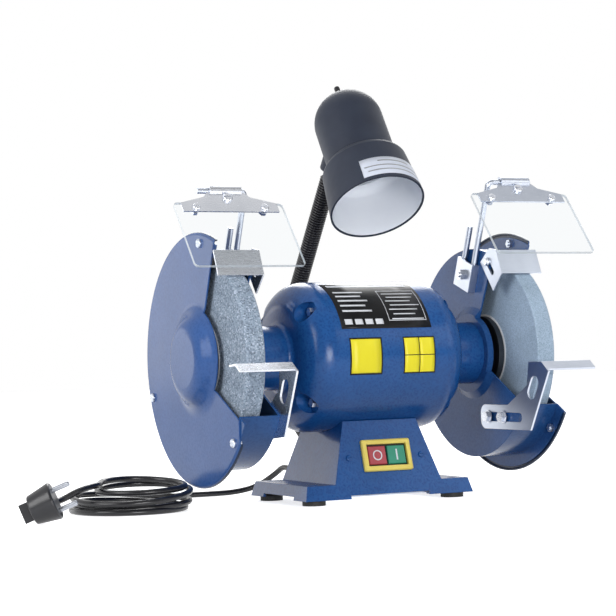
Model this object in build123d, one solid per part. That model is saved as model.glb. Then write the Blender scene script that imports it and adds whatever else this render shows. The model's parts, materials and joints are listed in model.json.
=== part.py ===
# Double-ended bench grinder with a gooseneck lamp, tool rests, spark plates and eye shields.
# Millimetres. X runs along the shaft, the switch faces -Y, Z is up.
# The origin is on the bench under the middle of the motor, at the centre of the four bench bolts.
from build123d import *
from math import atan, atan2, cos, degrees, hypot, pi, radians, sin, sqrt, tan
import os

# Fits
press_gap = 0.02
seat_gap = 0.1
running_gap = 0.3
bolt_gap = 0.3

# Grinding wheels and spindle
axis_height = 144.5
wheel_diameter = 200.0
wheel_width = 20.0
wheel_bore = 32.0
wheel_centre = 162.5
wheel_chamfer = 1.5
blotter_diameter = 80.0
blotter_thickness = 0.6
flange_diameter = 76.0
flange_thickness = 6.0
flange_relief = 1.2
spindle_diameter = 16.0
spindle_end_length = 1.5
nut_width = 24.0
nut_thickness = 10.0

# Motor
motor_radius = 75.0
shell_half_length = 62.0
shell_wall = 4.0
bell_round = 28.0
bell_wall = 4.0
neck_radius = 32.0
neck_fillet = 5.0
stator_half_length = 32.0
stator_bore_radius = 40.4
air_gap = 0.4
winding_length = 20.0
winding_inner_radius = 45.0
winding_outer_radius = 60.0
rotor_shaft_radius = 12.5
through_bolt_circle = 63.0
through_bolt_diameter = 5.0
through_bolt_seat = 74.0
bolt_pocket_radius = 10.0
bolt_boss_radius = 12.0
bolt_head_width = 8.0
bolt_head_height = 4.0

# Bearings
bearing_bore = 20.0
bearing_outer_diameter = 47.0
bearing_width = 14.0
bearing_inner_face = 110.0
ball_diameter = 7.9
ball_count = 8
ball_gap = 0.15
race_lip = 0.75
seal_hole_radius = 13.0

# Guards
guard_sheet = 2.0
guard_plane = 138.0
drum_clearance = 8.5
drum_sheet = 1.5
flange_ring_width = 12.2
cover_overhang = 4.3
cover_sheet = 1.5
cover_face = 180.0
cover_edge_round = 3.0
cover_lip_depth = 4.0
left_cover_trim = 30.0
dome_radius = 57.0
dome_top_radius = 27.0
dome_height = 14.0
emboss_radius = 48.0
emboss_height = 5.0
cover_hub_radius = 51.0
cover_opening_angles = (23.0, 120.4)
cover_opening_roots = ((-19.0, 38.0), (-33.0, -24.0))
guard_hub_radius = 39.0
guard_opening_angles = (24.5, 119.85)
guard_opening_roots = ((-12.0, 30.0), (-30.0, -16.5))
cover_screw_inset = 6.2
cover_screw_angles = (8.0, 133.0, -109.0)
cover_screw_diameter = 4.8
cover_screw_head_radius = 4.5
cover_screw_head_height = 3.0
cover_nut_width = 8.0
cover_nut_height = 3.2
mount_screw_circle = 27.5
mount_screw_angles = (60.0, 180.0, 300.0)
mount_screw_diameter = 4.0
mount_screw_length = 9.0
mount_screw_head_radius = 3.5
mount_screw_head_height = 2.4

# Tool rests
rest_sheet = 2.0
rest_arm_bottom = 66.0
rest_arm_height = 25.0
rest_arm_back = -17.7
rest_arm_round = 9.0
rest_riser_gap = 9.1
rest_riser_depth = 22.8
rest_foot_step = 0.5
rest_table_depth = 14.0
rest_lip_reach = 12.2
rest_lip_share = 0.75
rest_web_length = 40.0
rest_web_rise = 20.0
rest_web_step = 4.0
rest_table_top = 134.7
rest_lip_bottom = 125.1
rest_table_end = 192.5
rest_slot_width = 9.5
rest_slot_back = -25.0
rest_slot_length = 70.0
rest_window_width = 14.0
rest_window_length = 11.0
rest_window_step = 6.5
rest_window_drop = 4.3
left_rest_slide = 9.3
left_rest_tilt = 5.0
rest_bolt_places = (-32.5, -60.5)
rest_bolt_diameter = 6.0
rest_washer_radius = 6.5
rest_washer_thickness = 1.2
rest_bolt_head_width = 10.0
rest_bolt_head_height = 4.0
rest_nut_height = 4.0

# Spark plates
spark_sheet = 1.5
spark_flange_above = 8.8
spark_flange_below = 29.9
spark_flange_width = 22.0
spark_slope = 37.7
spark_plate_end = 183.0
spark_top_gap = 18.07
spark_top_angle = 27.22
spark_bottom_gap = 2.84
spark_bottom_angle = 38.49
spark_slot_length = 22.0
spark_slot_width = 6.0
spark_screw_inset = 7.76
spark_screw_angle = 21.85
spark_screw_diameter = 5.0
spark_screw_head_radius = 4.5
spark_screw_head_height = 3.0
spark_screw_travel = 5.0

# Eye shields
rod_radius = 3.0
rod_lean = 21.0
rod_leg_spacing = 19.5
rod_short_leg = 50.0
rod_bend_radius = 5.0
rod_turn_drop = 2.0
left_clamp_inset = 25.05
left_clamp_angle = -15.28
right_clamp_inset = 26.5
right_clamp_angle = 0.0
left_bar_rise = 64.0
right_bar_rise = 75.0
left_bar_end = -184.0
right_bar_end = 182.0
left_bracket_centre = -155.0
right_bracket_centre = 163.0
clamp_sheet = 2.0
clamp_width = 30.0
clamp_height = 30.0
clamp_bolt_diameter = 6.0
clamp_nut_width = 10.0
clamp_nut_height = 5.0
clamp_head_height = 3.5
shield_tilt = 38.5
shield_width = 116.0
shield_length = 80.0
shield_thickness = 3.0
shield_top_drop = 15.7
shield_corner_round = 4.0
bracket_sheet = 1.5
bracket_width = 102.0
bracket_hump_width = 34.0
bracket_drop = 28.0
bracket_shoulder = 17.0
curl_wall = 2.2
shield_screw_spacing = 73.0
shield_screw_drop = 23.0
shield_screw_diameter = 4.0
shield_screw_head_radius = 4.0
shield_screw_head_height = 2.4
shield_nut_width = 7.0
shield_nut_height = 3.2
pinch_screw_radius = 5.0
pinch_screw_height = 3.2
pinch_screw_drop = 11.0

# Base
base_half_length = 94.5
base_half_depth = 62.0
skirt_bottom = 5.0
wing_top = 19.5
skirt_flare = 3.5
front_lean = 0.276
pedestal_half_length = 60.0
panel_half_width = 41.7
panel_top = 80.5
base_wall = 3.0
lip_relief = 3.5
lip_front_length = 50.0
lip_side_length = 28.0
foot_pitch_x = 157.0
foot_pitch_y = 94.0
foot_diameter = 23.0
foot_pad_height = 5.5
foot_plug_diameter = 15.0
bench_bolt_hole = 9.0
bottom_plate_sheet = 1.5
plate_height = 8.0
base_post_radius = 4.5
base_post_height = 22.0
base_post_inset = 8.0
base_screw_diameter = 3.5
base_screw_head_radius = 3.2
base_screw_head_height = 2.0
base_screw_length = 9.0
saddle_screw_spacing = 50.0
saddle_screw_diameter = 5.0
saddle_screw_head_radius = 4.2
saddle_screw_head_height = 4.0
panel_screw_spacing = 82.0
panel_screw_height = 44.5
panel_screw_length = 5.0
capacitor_diameter = 34.0
capacitor_length = 60.0
capacitor_stud = 6.0
capacitor_y = 17.5
terminal_length = 34.0
terminal_depth = 14.0
terminal_height = 16.0
terminal_place = (8.0, -13.0)

# Switch
switch_centre = (1.3, 45.5)
bezel_width = 55.0
bezel_height = 32.0
bezel_depth = 3.5
bezel_border = 5.0
switch_depth = 26.0
switch_pocket_depth = 13.0
switch_wall = 1.4
button_gap = 0.35
button_proud = 2.2
button_stem = 7.0

# Lamp
lamp_tilt = 35.0
lamp_lean = 2.8
lamp_opening_y = -49.0
lamp_opening_z = 292.5
shade_mouth_radius = 48.5
shade_shoulder_radius = 44.0
shade_collar_length = 48.7
shade_shoulder_length = 8.0
shade_radius = 35.5
shade_dome_start = 110.0
shade_wall = 2.0
lamp_holder_radius = 17.0
lamp_holder_length = 60.0
lamp_knob_radius = 3.0
lamp_knob_height = 15.0
lamp_knob_travel = 2.0
ball_joint_radius = 8.5
ball_joint_offset = 15.0
ball_socket_wall = 3.2
ball_socket_overlap = 3.0
neck_stem_radius = 5.0
neck_stem_length = 12.0
hose_radius = 9.0
hose_groove = 1.1
hose_bore = 5.5
rib_pitch = 2.5
hose_bend_radius = 94.0
hose_joint_straight = 20.0
hose_joint_angle = 11.0
nipple_height = 48.0
nipple_end = 70.0
nipple_radius = 13.0
nipple_stud_radius = 6.0
nipple_nut_radius = 10.0
nipple_stud_inside = 12.0

# Cord and plug
cord_radius = 3.0
cord_floor_gap = 0.2
gland_x = -36.0
gland_height = 20.0
gland_radius = 8.0
gland_length = 24.0
gland_collar = 5.0
gland_tip_wall = 1.8
gland_inside = 4.0
gland_nut_radius = 10.0
coil_centre = (-242.5, 20.0)
coil_heading = 27.2
coil_layer_pitch = 6.5
coil_ends = ((-57.5, 0.0), (52.0, 0.0), (-53.5, 1.0), (56.0, 1.0), (-56.5, 2.0), (57.0, 2.5), (-33.0, 2.8),
             (51.7, 3.1), (-29.5, 3.85))
plug_radius = 18.0
plug_length = 24.0
plug_rear_radius = 13.5
plug_tab_length = 9.0
plug_tab_width = 18.0
plug_tab_thickness = 9.0
plug_tilt = 22.0
plug_outlet_radius = 6.5
plug_outlet_length = 27.0
plug_clear = 0.3
plug_place = (-68.5, -123.0)
tail_first_run = 20.0
tail_route = ((-44.0, -49.0, 25.5), (-62.0, -64.0, 16.0))
tail_last_run = 13.0
lead_first_run = 20.0
lead_route = ((-41.0, 119.5, 27.0), (-54.0, 133.0, 14.5), (-77.0, 136.0, 6.0), (-105.0, 134.0, 3.4),
              (-136.0, 138.5, 3.3), (-170.0, 138.0, 3.3), (-206.0, 131.0, 3.3), (-241.5, 114.0, 3.3))
lead_last_run = 36.0
pin_radius = 2.4
pin_length = 17.0
pin_spacing = 19.0

# Values that follow from the sizes above
up = Pos(0, 0, axis_height)
wheel_radius = wheel_diameter / 2
wheel_inner_face = wheel_centre - wheel_width / 2
wheel_outer_face = wheel_centre + wheel_width / 2
spindle_shoulder = wheel_inner_face - blotter_thickness - flange_thickness
nut_face = wheel_outer_face + blotter_thickness + flange_thickness
spindle_end = nut_face + nut_thickness + spindle_end_length
bell_end = shell_half_length + bell_round
neck_end = guard_plane - guard_sheet
stator_radius = motor_radius - shell_wall
bearing_outer_face = bearing_inner_face + bearing_width
ball_pitch_radius = (bearing_bore + bearing_outer_diameter) / 4
cover_inner_face = cover_face - cover_sheet
ring_face = cover_inner_face - drum_sheet
drum_radius = wheel_radius + drum_clearance
flange_ring_radius = drum_radius + flange_ring_width
cover_radius = flange_ring_radius + cover_overhang
cover_screw_circle = flange_ring_radius - cover_screw_inset
rest_riser_back = -wheel_radius - rest_riser_gap
rest_front_foot = rest_riser_back - rest_foot_step
rest_table_front = rest_riser_back - rest_riser_depth
rest_table_back = rest_table_front + rest_table_depth
rest_front_reach = rest_table_front - rest_lip_reach
rest_arm_top = rest_arm_bottom + rest_arm_height
front_angle = degrees(atan(front_lean))
rest_plane = neck_end - rest_sheet
rod_plane = neck_end - rod_radius - running_gap
clamp_back = rod_plane - rod_radius - running_gap - clamp_sheet
corner_angles = (45, 135, 225, 315)


def save(name, shape):
    """Write one named piece, or one group of separate solids."""
    export_step(shape, "parts/" + name + ".step")


def group(solids):
    """Hold separate solids together in one named piece."""
    return Compound(children=[Solid(s.wrapped) if isinstance(s, Solid) else s.solid() for s in solids])


def rod_x(radius, start, end, y=0, z=0):
    """A round bar along X."""
    return Pos((start + end) / 2, y, z) * Rot(0, 90, 0) * Cylinder(radius, end - start)


def hex_x(width, start, end, y=0, z=0):
    """A hexagon bar along X, sized across its flats."""
    face = Plane.YZ.offset(start) * Pos(y, z) * RegularPolygon(width / 2, 6, major_radius=False)
    return extrude(face, amount=end - start)


def ring_x(outer, inner, start, end):
    """A plain ring round the X axis."""
    return rod_x(outer, start, end) - rod_x(inner, start - 1, end + 1)


def turned(lines):
    """Turn a closed outline of X against radius about the X axis."""
    return revolve(Plane.XZ * make_face(lines), axis=Axis.X)


def plate_x(outline, start, end):
    """A flat sheet across X, cut to an outline of Y against Z."""
    return extrude(Plane.YZ.offset(start) * outline, amount=end - start)


def mirrored(shape):
    """The same piece for the other end of the shaft."""
    return mirror(shape, about=Plane.YZ)


def both_ends(shape):
    """A piece and its mirror image."""
    return [shape, mirrored(shape)]


def front_depth(height):
    """Half depth of the base at a height, along its leaning faces."""
    return base_half_depth - (height - skirt_bottom) * front_lean


def face_plane(x, height, side):
    """Plane on the front (-1) or rear (1) face of the base, with its normal pointing out."""
    lean = radians(front_angle)
    place = (x, side * front_depth(height), height)
    return Plane(origin=place, x_dir=(-side, 0, 0), z_dir=(0, side * cos(lean), sin(lean)))


def frustum(low, high, z_low, z_high):
    """A four-sided block that narrows from one rectangle to another."""
    bottom = Pos(0, 0, z_low) * Rectangle(2 * low[0], 2 * low[1])
    top = Pos(0, 0, z_high) * Rectangle(2 * high[0], 2 * high[1])
    return loft([bottom, top], ruled=True)


def foot_places():
    """The four bench bolt places."""
    return [(sx * foot_pitch_x / 2, sy * foot_pitch_y / 2) for sx in (-1, 1) for sy in (-1, 1)]


def post_places():
    """The four posts that take the bottom plate's screws."""
    x = pedestal_half_length - base_post_inset
    y = front_depth(wing_top) - base_wall - base_post_inset
    return [(sx * x, sy * y) for sx in (-1, 1) for sy in (-1, 1)]


saddle_bottom = axis_height - motor_radius - seat_gap
nipple_seat = (0, front_depth(nipple_height), nipple_height)
lamp_rear_plane = Plane(origin=nipple_seat, x_dir=(-1, 0, 0), z_dir=(0, 1, 0))


# Base and its electrical parts
def base_casting():
    """Hollow pedestal with two wings, a saddle for the motor and four bolt holes."""
    wing = frustum((base_half_length, base_half_depth),
                   (base_half_length - skirt_flare, front_depth(wing_top)), skirt_bottom, wing_top)
    pedestal = frustum((pedestal_half_length, front_depth(wing_top)),
                       (panel_half_width, front_depth(panel_top)), wing_top, panel_top)
    hollow_low = (base_half_length - base_wall, base_half_depth - base_wall)
    hollow_high = (base_half_length - skirt_flare - base_wall, front_depth(wing_top) - base_wall)
    wing_hollow = frustum(hollow_low, hollow_high, skirt_bottom, wing_top - base_wall)
    inside_low = (pedestal_half_length - base_wall, front_depth(wing_top) - base_wall)
    inside_high = (panel_half_width - base_wall, front_depth(panel_top) - base_wall)
    inside = frustum(inside_low, inside_high, wing_top, panel_top)
    throat = Pos(0, 0, wing_top - base_wall) * Box(2 * inside_low[0], 2 * inside_low[1], base_wall,
                                                   align=(Align.CENTER, Align.CENTER, Align.MIN))
    inside = inside - up * rod_x(motor_radius + seat_gap + base_wall, -base_half_length, base_half_length)
    posts = [Pos(x, y, plate_height) * Cylinder(base_post_radius, base_post_height,
             align=(Align.CENTER, Align.CENTER, Align.MIN)) for x, y in post_places()]
    webs = [Pos(sx * (pedestal_half_length - base_wall / 2), 0, plate_height)
            * Box(base_wall, 2 * inside_low[1], wing_top - base_wall - plate_height,
                  align=(Align.CENTER, Align.CENTER, Align.MIN)) for sx in (-1, 1)]
    body = wing + pedestal - wing_hollow - inside - throat + posts + webs
    body -= up * rod_x(motor_radius + seat_gap, -base_half_length, base_half_length)
    relief = Pos(0, 0, skirt_bottom) * Box(2 * (base_half_length - lip_front_length), 3 * base_half_depth,
                                           2 * lip_relief)
    relief += Pos(0, 0, skirt_bottom) * Box(3 * base_half_length, 2 * (base_half_depth - lip_side_length),
                                            2 * lip_relief)
    body -= relief
    for x, y in foot_places():
        body -= Pos(x, y, wing_top) * Cylinder(bench_bolt_hole / 2, 3 * base_wall)
    for x, y in post_places():
        body -= Pos(x, y, plate_height) * Cylinder(base_screw_diameter / 2 + press_gap, 2 * base_screw_length)
    panel = face_plane(switch_centre[0], switch_centre[1], -1)
    window = (bezel_width - 2 * bezel_border + 2 * seat_gap, bezel_height - 2 * bezel_border + 2 * seat_gap)
    body -= panel * Box(window[0], window[1], 4 * base_wall)
    for sx in (-1, 1):
        hole = face_plane(sx * panel_screw_spacing / 2, panel_screw_height, -1)
        body -= hole * Cylinder(base_screw_diameter / 2 + press_gap, 4 * base_wall)
        body -= Pos(sx * saddle_screw_spacing / 2, 0, saddle_bottom) * Cylinder(
            saddle_screw_diameter / 2 + bolt_gap / 2, 4 * base_wall)
    body -= face_plane(gland_x, gland_height, 1) * Cylinder(gland_radius + seat_gap, 4 * base_wall)
    body -= lamp_rear_plane * Cylinder(nipple_stud_radius + seat_gap, 6 * base_wall)
    return body


def base_bottom_plate():
    """Sheet that closes the pedestal from below."""
    depth = 2 * (front_depth(wing_top) - base_wall) - 2 * seat_gap
    plate = Pos(0, 0, plate_height) * Box(2 * pedestal_half_length, depth, bottom_plate_sheet,
                                       align=(Align.CENTER, Align.CENTER, Align.MAX))
    for x, y in post_places():
        hole = Cylinder(base_screw_diameter / 2 + bolt_gap / 2, 4 * bottom_plate_sheet)
        plate -= Pos(x, y, plate_height) * hole
    return plate


def round_screw(plane, diameter, length, head_radius, head_height):
    """Round-head screw: the head stands on the plane and the shank goes down into it."""
    head = Cylinder(head_radius, head_height, align=(Align.CENTER, Align.CENTER, Align.MIN))
    head = fillet(head.edges().group_by(Axis.Z)[-1], head_height * 0.6)
    shank = Cylinder(diameter / 2, length, align=(Align.CENTER, Align.CENTER, Align.MAX))
    slot = Pos(0, 0, head_height) * Box(2 * head_radius, head_radius / 4, head_height * 0.6)
    return plane * (head + shank - slot)


def base_screws():
    """Bottom plate screws, saddle screws under the motor and the two panel screws."""
    screws = []
    below = plate_height - bottom_plate_sheet
    for x, y in post_places():
        plane = Plane(origin=(x, y, below), x_dir=(1, 0, 0), z_dir=(0, 0, -1))
        screws.append(round_screw(plane, base_screw_diameter, base_screw_length, base_screw_head_radius,
                                  base_screw_head_height))
    under = saddle_bottom - base_wall - seat_gap
    for sx in (-1, 1):
        plane = Plane(origin=(sx * saddle_screw_spacing / 2, 0, under), x_dir=(1, 0, 0), z_dir=(0, 0, -1))
        screws.append(round_screw(plane, saddle_screw_diameter, base_wall + shell_wall + seat_gap / 2,
                                  saddle_screw_head_radius, saddle_screw_head_height))
        panel = face_plane(sx * panel_screw_spacing / 2, panel_screw_height, -1)
        screws.append(round_screw(panel, base_screw_diameter, panel_screw_length, base_screw_head_radius,
                                  base_screw_head_height))
    return group(screws)


def rubber_feet():
    """Four hollow feet that take the bench bolts."""
    height = wing_top - base_wall
    low = (Align.CENTER, Align.CENTER, Align.MIN)
    foot = Cylinder(foot_diameter / 2, foot_pad_height, align=low)
    foot += Cylinder(foot_plug_diameter / 2, height, align=low)
    foot -= Cylinder(bench_bolt_hole / 2, 3 * height)
    return group([Pos(x, y, 0) * foot for x, y in foot_places()])


def switch_window():
    """Width and height of the switch housing in the panel."""
    return bezel_width - 2 * bezel_border, bezel_height - 2 * bezel_border


def button_size():
    """Width and height of one push button."""
    width, height = switch_window()
    return (width - 3 * switch_wall) / 2 - 2 * button_gap, height - 2 * switch_wall - 2 * button_gap


def button_place(side):
    """Place of a button across the switch."""
    width, _ = switch_window()
    return side * ((width - 3 * switch_wall) / 4 + switch_wall / 2)


def switch_housing():
    """Switch body behind the panel, with a pocket for each button."""
    panel = face_plane(switch_centre[0], switch_centre[1], -1)
    width, height = switch_window()
    body = Box(width, height, switch_depth, align=(Align.CENTER, Align.CENTER, Align.MAX))
    button_width, button_height = button_size()
    for side in (-1, 1):
        body -= Pos(button_place(side), 0, 0) * Box(
            button_width + 2 * button_gap, button_height + 2 * button_gap, 2 * switch_pocket_depth)
    return panel * body


def switch_bezel():
    """Yellow frame round the two buttons."""
    panel = face_plane(switch_centre[0], switch_centre[1], -1)
    width, height = switch_window()
    frame = Box(bezel_width, bezel_height, bezel_depth, align=(Align.CENTER, Align.CENTER, Align.MIN))
    frame = fillet(frame.edges().filter_by(Axis.Z), bezel_border * 0.4)
    frame = chamfer(frame.edges().group_by(Axis.Z)[-1], bezel_depth * 0.35)
    frame -= Box(width, height, 4 * bezel_depth)
    return panel * frame


def push_button(side):
    """One push button in its pocket."""
    panel = face_plane(switch_centre[0], switch_centre[1], -1)
    width, height = button_size()
    cap = Pos(button_place(side), 0, button_proud) * Box(
        width, height, button_proud + button_stem, align=(Align.CENTER, Align.CENTER, Align.MAX))
    cap = chamfer(cap.edges().group_by(Axis.Z)[-1], button_proud * 0.3)
    return panel * cap


def capacitor():
    """Run capacitor lying on the bottom plate."""
    centre = plate_height + capacitor_diameter / 2
    end = capacitor_length / 2
    can = rod_x(capacitor_diameter / 2, -end, end, capacitor_y, centre)
    return can + rod_x(capacitor_diameter / 8, end, end + capacitor_stud, capacitor_y, centre)


def terminal_block():
    """Screw terminal block on the bottom plate."""
    x, y = terminal_place
    block = Pos(x, y, plate_height) * Box(terminal_length, terminal_depth, terminal_height,
                                       align=(Align.CENTER, Align.CENTER, Align.MIN))
    step = terminal_length / 4
    for place in range(4):
        well = Pos(x + (place - 1.5) * step, y, plate_height + terminal_height)
        block -= well * Cylinder(step * 0.3, terminal_height)
    return block


def cord_gland():
    """Strain relief in the rear wall, with its nut inside."""
    plane = face_plane(gland_x, gland_height, 1)
    sleeve = Cylinder(gland_radius, base_wall + gland_inside, align=(Align.CENTER, Align.CENTER, Align.MAX))
    collar = Cylinder(gland_nut_radius, gland_collar, align=(Align.CENTER, Align.CENTER, Align.MIN))
    tail = Cone(gland_radius, cord_radius + gland_tip_wall, gland_length - gland_collar,
                align=(Align.CENTER, Align.CENTER, Align.MIN))
    return plane * (sleeve + collar + Pos(0, 0, gland_collar) * tail)


# Motor
def motor_shell():
    """Round centre housing of the motor."""
    shell = ring_x(motor_radius, stator_radius + press_gap, -shell_half_length, shell_half_length)
    for sx in (-1, 1):
        shell -= Pos(sx * saddle_screw_spacing / 2, 0, -motor_radius) * Cylinder(
            saddle_screw_diameter / 2 + press_gap, 4 * shell_wall)
    return up * shell


def bolt_ring(radius, start, end):
    """Round bars along X on the through bolt circle."""
    bars = []
    for angle in corner_angles:
        y = through_bolt_circle * cos(radians(angle))
        z = through_bolt_circle * sin(radians(angle))
        bars.append(rod_x(radius, start, end, y, z))
    return bars


def bell_envelope():
    """Outer form of an end bell with its neck."""
    knee = (shell_half_length + bell_round * sin(radians(45)),
            motor_radius - bell_round + bell_round * cos(radians(45)))
    shoulder = ThreePointArc((shell_half_length, motor_radius), knee, (bell_end, motor_radius - bell_round))
    root = neck_radius + neck_fillet
    bend = neck_fillet * (1 - cos(radians(45)))
    neck_arc = ThreePointArc((bell_end, root), (bell_end + bend, neck_radius + bend),
                             (bell_end + neck_fillet, neck_radius))
    lines = [shoulder, Line((bell_end, motor_radius - bell_round), (bell_end, root)), neck_arc,
             Polyline((bell_end + neck_fillet, neck_radius), (neck_end, neck_radius), (neck_end, 0),
                      (shell_half_length, 0), (shell_half_length, motor_radius))]
    return turned(lines)


def bell_hollow():
    """Space inside an end bell, down to the bearing seat."""
    inner_round = bell_round - bell_wall
    knee = (shell_half_length + inner_round * sin(radians(45)),
            motor_radius - bell_round + inner_round * cos(radians(45)))
    deep = shell_half_length + inner_round
    seat = bearing_outer_diameter / 2 + press_gap
    arc = ThreePointArc((shell_half_length, stator_radius), knee, (deep, motor_radius - bell_round))
    bottom = bearing_outer_face + seat_gap
    rest = Polyline((deep, motor_radius - bell_round), (deep, seat + 2), (bearing_inner_face - 2, seat + 2),
                    (bearing_inner_face - 2, seat), (bottom, seat), (bottom, seal_hole_radius),
                    (neck_end + 1, seal_hole_radius), (neck_end + 1, 0), (shell_half_length, 0),
                    (shell_half_length, stator_radius))
    return turned([arc, rest])


def end_bell():
    """Right end bell: shoulder, neck, bearing seat, bolt bosses and bolt pockets."""
    envelope = bell_envelope()
    body = envelope - bell_hollow()
    for boss in bolt_ring(bolt_boss_radius, shell_half_length, bell_end):
        body += boss & envelope
    for pocket in bolt_ring(bolt_pocket_radius, through_bolt_seat, neck_end):
        body -= pocket
    for hole in bolt_ring(through_bolt_diameter / 2 + bolt_gap / 2, 0, neck_end):
        body -= hole
    screw_hole_end = guard_plane - mount_screw_length - 1
    for y, z in mount_screw_places():
        body -= rod_x(mount_screw_diameter / 2 + press_gap, screw_hole_end, neck_end + 1, y, z)
    return up * body


def through_bolts():
    """Four long bolts that clamp both bells to the shell, with heads at the left and nuts at the right."""
    bolts = []
    thread_end = through_bolt_seat + bolt_head_height + 2
    for angle in corner_angles:
        y = through_bolt_circle * cos(radians(angle))
        z = through_bolt_circle * sin(radians(angle))
        bolt = rod_x(through_bolt_diameter / 2, -through_bolt_seat, thread_end, y, z)
        bolt += hex_x(bolt_head_width, -through_bolt_seat - bolt_head_height, -through_bolt_seat, y, z)
        bolt += hex_x(bolt_head_width, through_bolt_seat, through_bolt_seat + bolt_head_height, y, z)
        bolts.append(up * bolt)
    return group(bolts)


def stator_core():
    """Laminated stator pressed into the shell."""
    core = ring_x(stator_radius, stator_bore_radius, -stator_half_length, stator_half_length)
    for hole in bolt_ring(through_bolt_diameter / 2 + bolt_gap / 2, -shell_half_length, shell_half_length):
        core -= hole
    return up * core


def stator_windings():
    """Two rings of end turns on the stator's faces."""
    start = stator_half_length
    coil = ring_x(winding_outer_radius, winding_inner_radius, start, start + winding_length)
    coil = fillet(coil.edges().group_by(Axis.X)[-1], (winding_outer_radius - winding_inner_radius) * 0.35)
    return group([up * end for end in both_ends(coil)])


def shaft():
    """Stepped shaft from one spindle end to the other."""
    seat = bearing_bore / 2 - press_gap
    spindle = spindle_diameter / 2
    half = [(0, rotor_shaft_radius), (bearing_inner_face, rotor_shaft_radius), (bearing_inner_face, seat),
            (spindle_shoulder, seat), (spindle_shoulder, spindle), (spindle_end - 1, spindle),
            (spindle_end, spindle - 1)]
    other = [(-x, r) for x, r in reversed(half[1:])]
    return up * turned(Polyline((-spindle_end, 0), *other, *half, (spindle_end, 0), close=True))


def rotor_core():
    """Rotor stack on the shaft."""
    length = stator_half_length + 1
    return up * ring_x(stator_bore_radius - air_gap, rotor_shaft_radius + press_gap, -length, length)


def race_pair(outer, inner):
    """One bearing ring at each end, with its ball groove."""
    middle = bearing_inner_face + bearing_width / 2
    ring = ring_x(outer, inner, bearing_inner_face, bearing_outer_face)
    groove = Pos(middle, 0, 0) * Rot(0, 90, 0) * Torus(ball_pitch_radius, ball_diameter / 2 + ball_gap)
    return group([up * end for end in both_ends(ring - groove)])


def bearing_outer_races():
    """Outer rings of the two bearings."""
    inner = ball_pitch_radius + ball_diameter / 2 - race_lip
    return race_pair(bearing_outer_diameter / 2, inner)


def bearing_inner_races():
    """Inner rings of the two bearings."""
    outer = ball_pitch_radius - ball_diameter / 2 + race_lip
    return race_pair(outer, bearing_bore / 2)


def bearing_balls():
    """Balls of the two bearings."""
    middle = bearing_inner_face + bearing_width / 2
    balls = []
    for place in range(ball_count):
        angle = radians(360 * place / ball_count)
        spot = Pos(middle, ball_pitch_radius * cos(angle), ball_pitch_radius * sin(angle))
        balls += [up * end for end in both_ends(spot * Sphere(ball_diameter / 2))]
    return group(balls)


# Wheels
def grinding_wheel():
    """Right wheel with its chamfered edges."""
    wheel = ring_x(wheel_radius, wheel_bore / 2, wheel_inner_face, wheel_outer_face)
    rims = wheel.edges().filter_by(GeomType.CIRCLE).group_by(SortBy.RADIUS)[-1]
    return up * chamfer(rims, wheel_chamfer)


def wheel_bushes():
    """Bushes that bring the wheel bore down to the spindle."""
    hole = spindle_diameter / 2 + press_gap
    bush = ring_x(wheel_bore / 2 - press_gap, hole, wheel_inner_face, wheel_outer_face)
    return group([up * end for end in both_ends(bush)])


def wheel_blotters():
    """Paper washers on both sides of each wheel."""
    hole = spindle_diameter / 2 + press_gap
    inner = ring_x(blotter_diameter / 2, hole, wheel_inner_face - blotter_thickness, wheel_inner_face)
    outer = ring_x(blotter_diameter / 2, hole, wheel_outer_face, wheel_outer_face + blotter_thickness)
    return group([up * end for piece in (inner, outer) for end in both_ends(piece)])


def wheel_flange(start, relieved_face):
    """One clamping flange, relieved near its hole on the wheel side."""
    hole = spindle_diameter / 2 + press_gap
    flange = ring_x(flange_diameter / 2, hole, start, start + flange_thickness)
    relief = ring_x(flange_diameter / 3, hole, relieved_face - flange_relief, relieved_face + flange_relief)
    return flange - relief


def wheel_flanges():
    """The four clamping flanges."""
    inner = wheel_flange(spindle_shoulder, spindle_shoulder + flange_thickness)
    outer = wheel_flange(nut_face - flange_thickness, nut_face - flange_thickness)
    return group([up * end for piece in (inner, outer) for end in both_ends(piece)])


def spindle_nuts():
    """Hexagon nuts on both spindle ends."""
    nut = hex_x(nut_width, nut_face, nut_face + nut_thickness)
    nut -= rod_x(spindle_diameter / 2 + press_gap, nut_face - 1, spindle_end + 1)
    return group([up * end for end in both_ends(nut)])


# Guards
def wheel_opening(hub_radius, roots, rim_radius, angles):
    """Prism along X of the front opening, which leaves the hub standing."""
    reach = 2 * cover_radius
    top_inner, low_inner = roots
    top_outer, low_outer = ring_places(rim_radius, angles)
    top_far = (top_outer[0] * 1.3, top_outer[1] * 1.3)
    low_far = (low_outer[0] * 1.5, low_outer[1] * 1.5)
    outline = make_face(Polyline(top_inner, top_outer, top_far, (-reach, reach), (-reach, low_far[1]),
                                 low_far, low_outer, low_inner, close=True))
    prism = plate_x(outline, neck_end - emboss_height - 1, cover_face + dome_height + 1)
    return prism - rod_x(hub_radius, 0, 2 * cover_face)


def guard_opening():
    """Front opening of the inner guard."""
    return wheel_opening(guard_hub_radius, guard_opening_roots, drum_radius, guard_opening_angles)


def cover_opening():
    """Front opening of the outer cover."""
    return wheel_opening(cover_hub_radius, cover_opening_roots, cover_radius, cover_opening_angles)


def ring_places(circle, angles):
    """Places round the shaft, with angles from the top towards the front."""
    return [(-circle * sin(radians(a)), circle * cos(radians(a))) for a in angles]


def mount_screw_places():
    """Three screws that hold an inner guard to its bell."""
    return ring_places(mount_screw_circle, mount_screw_angles)


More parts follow.
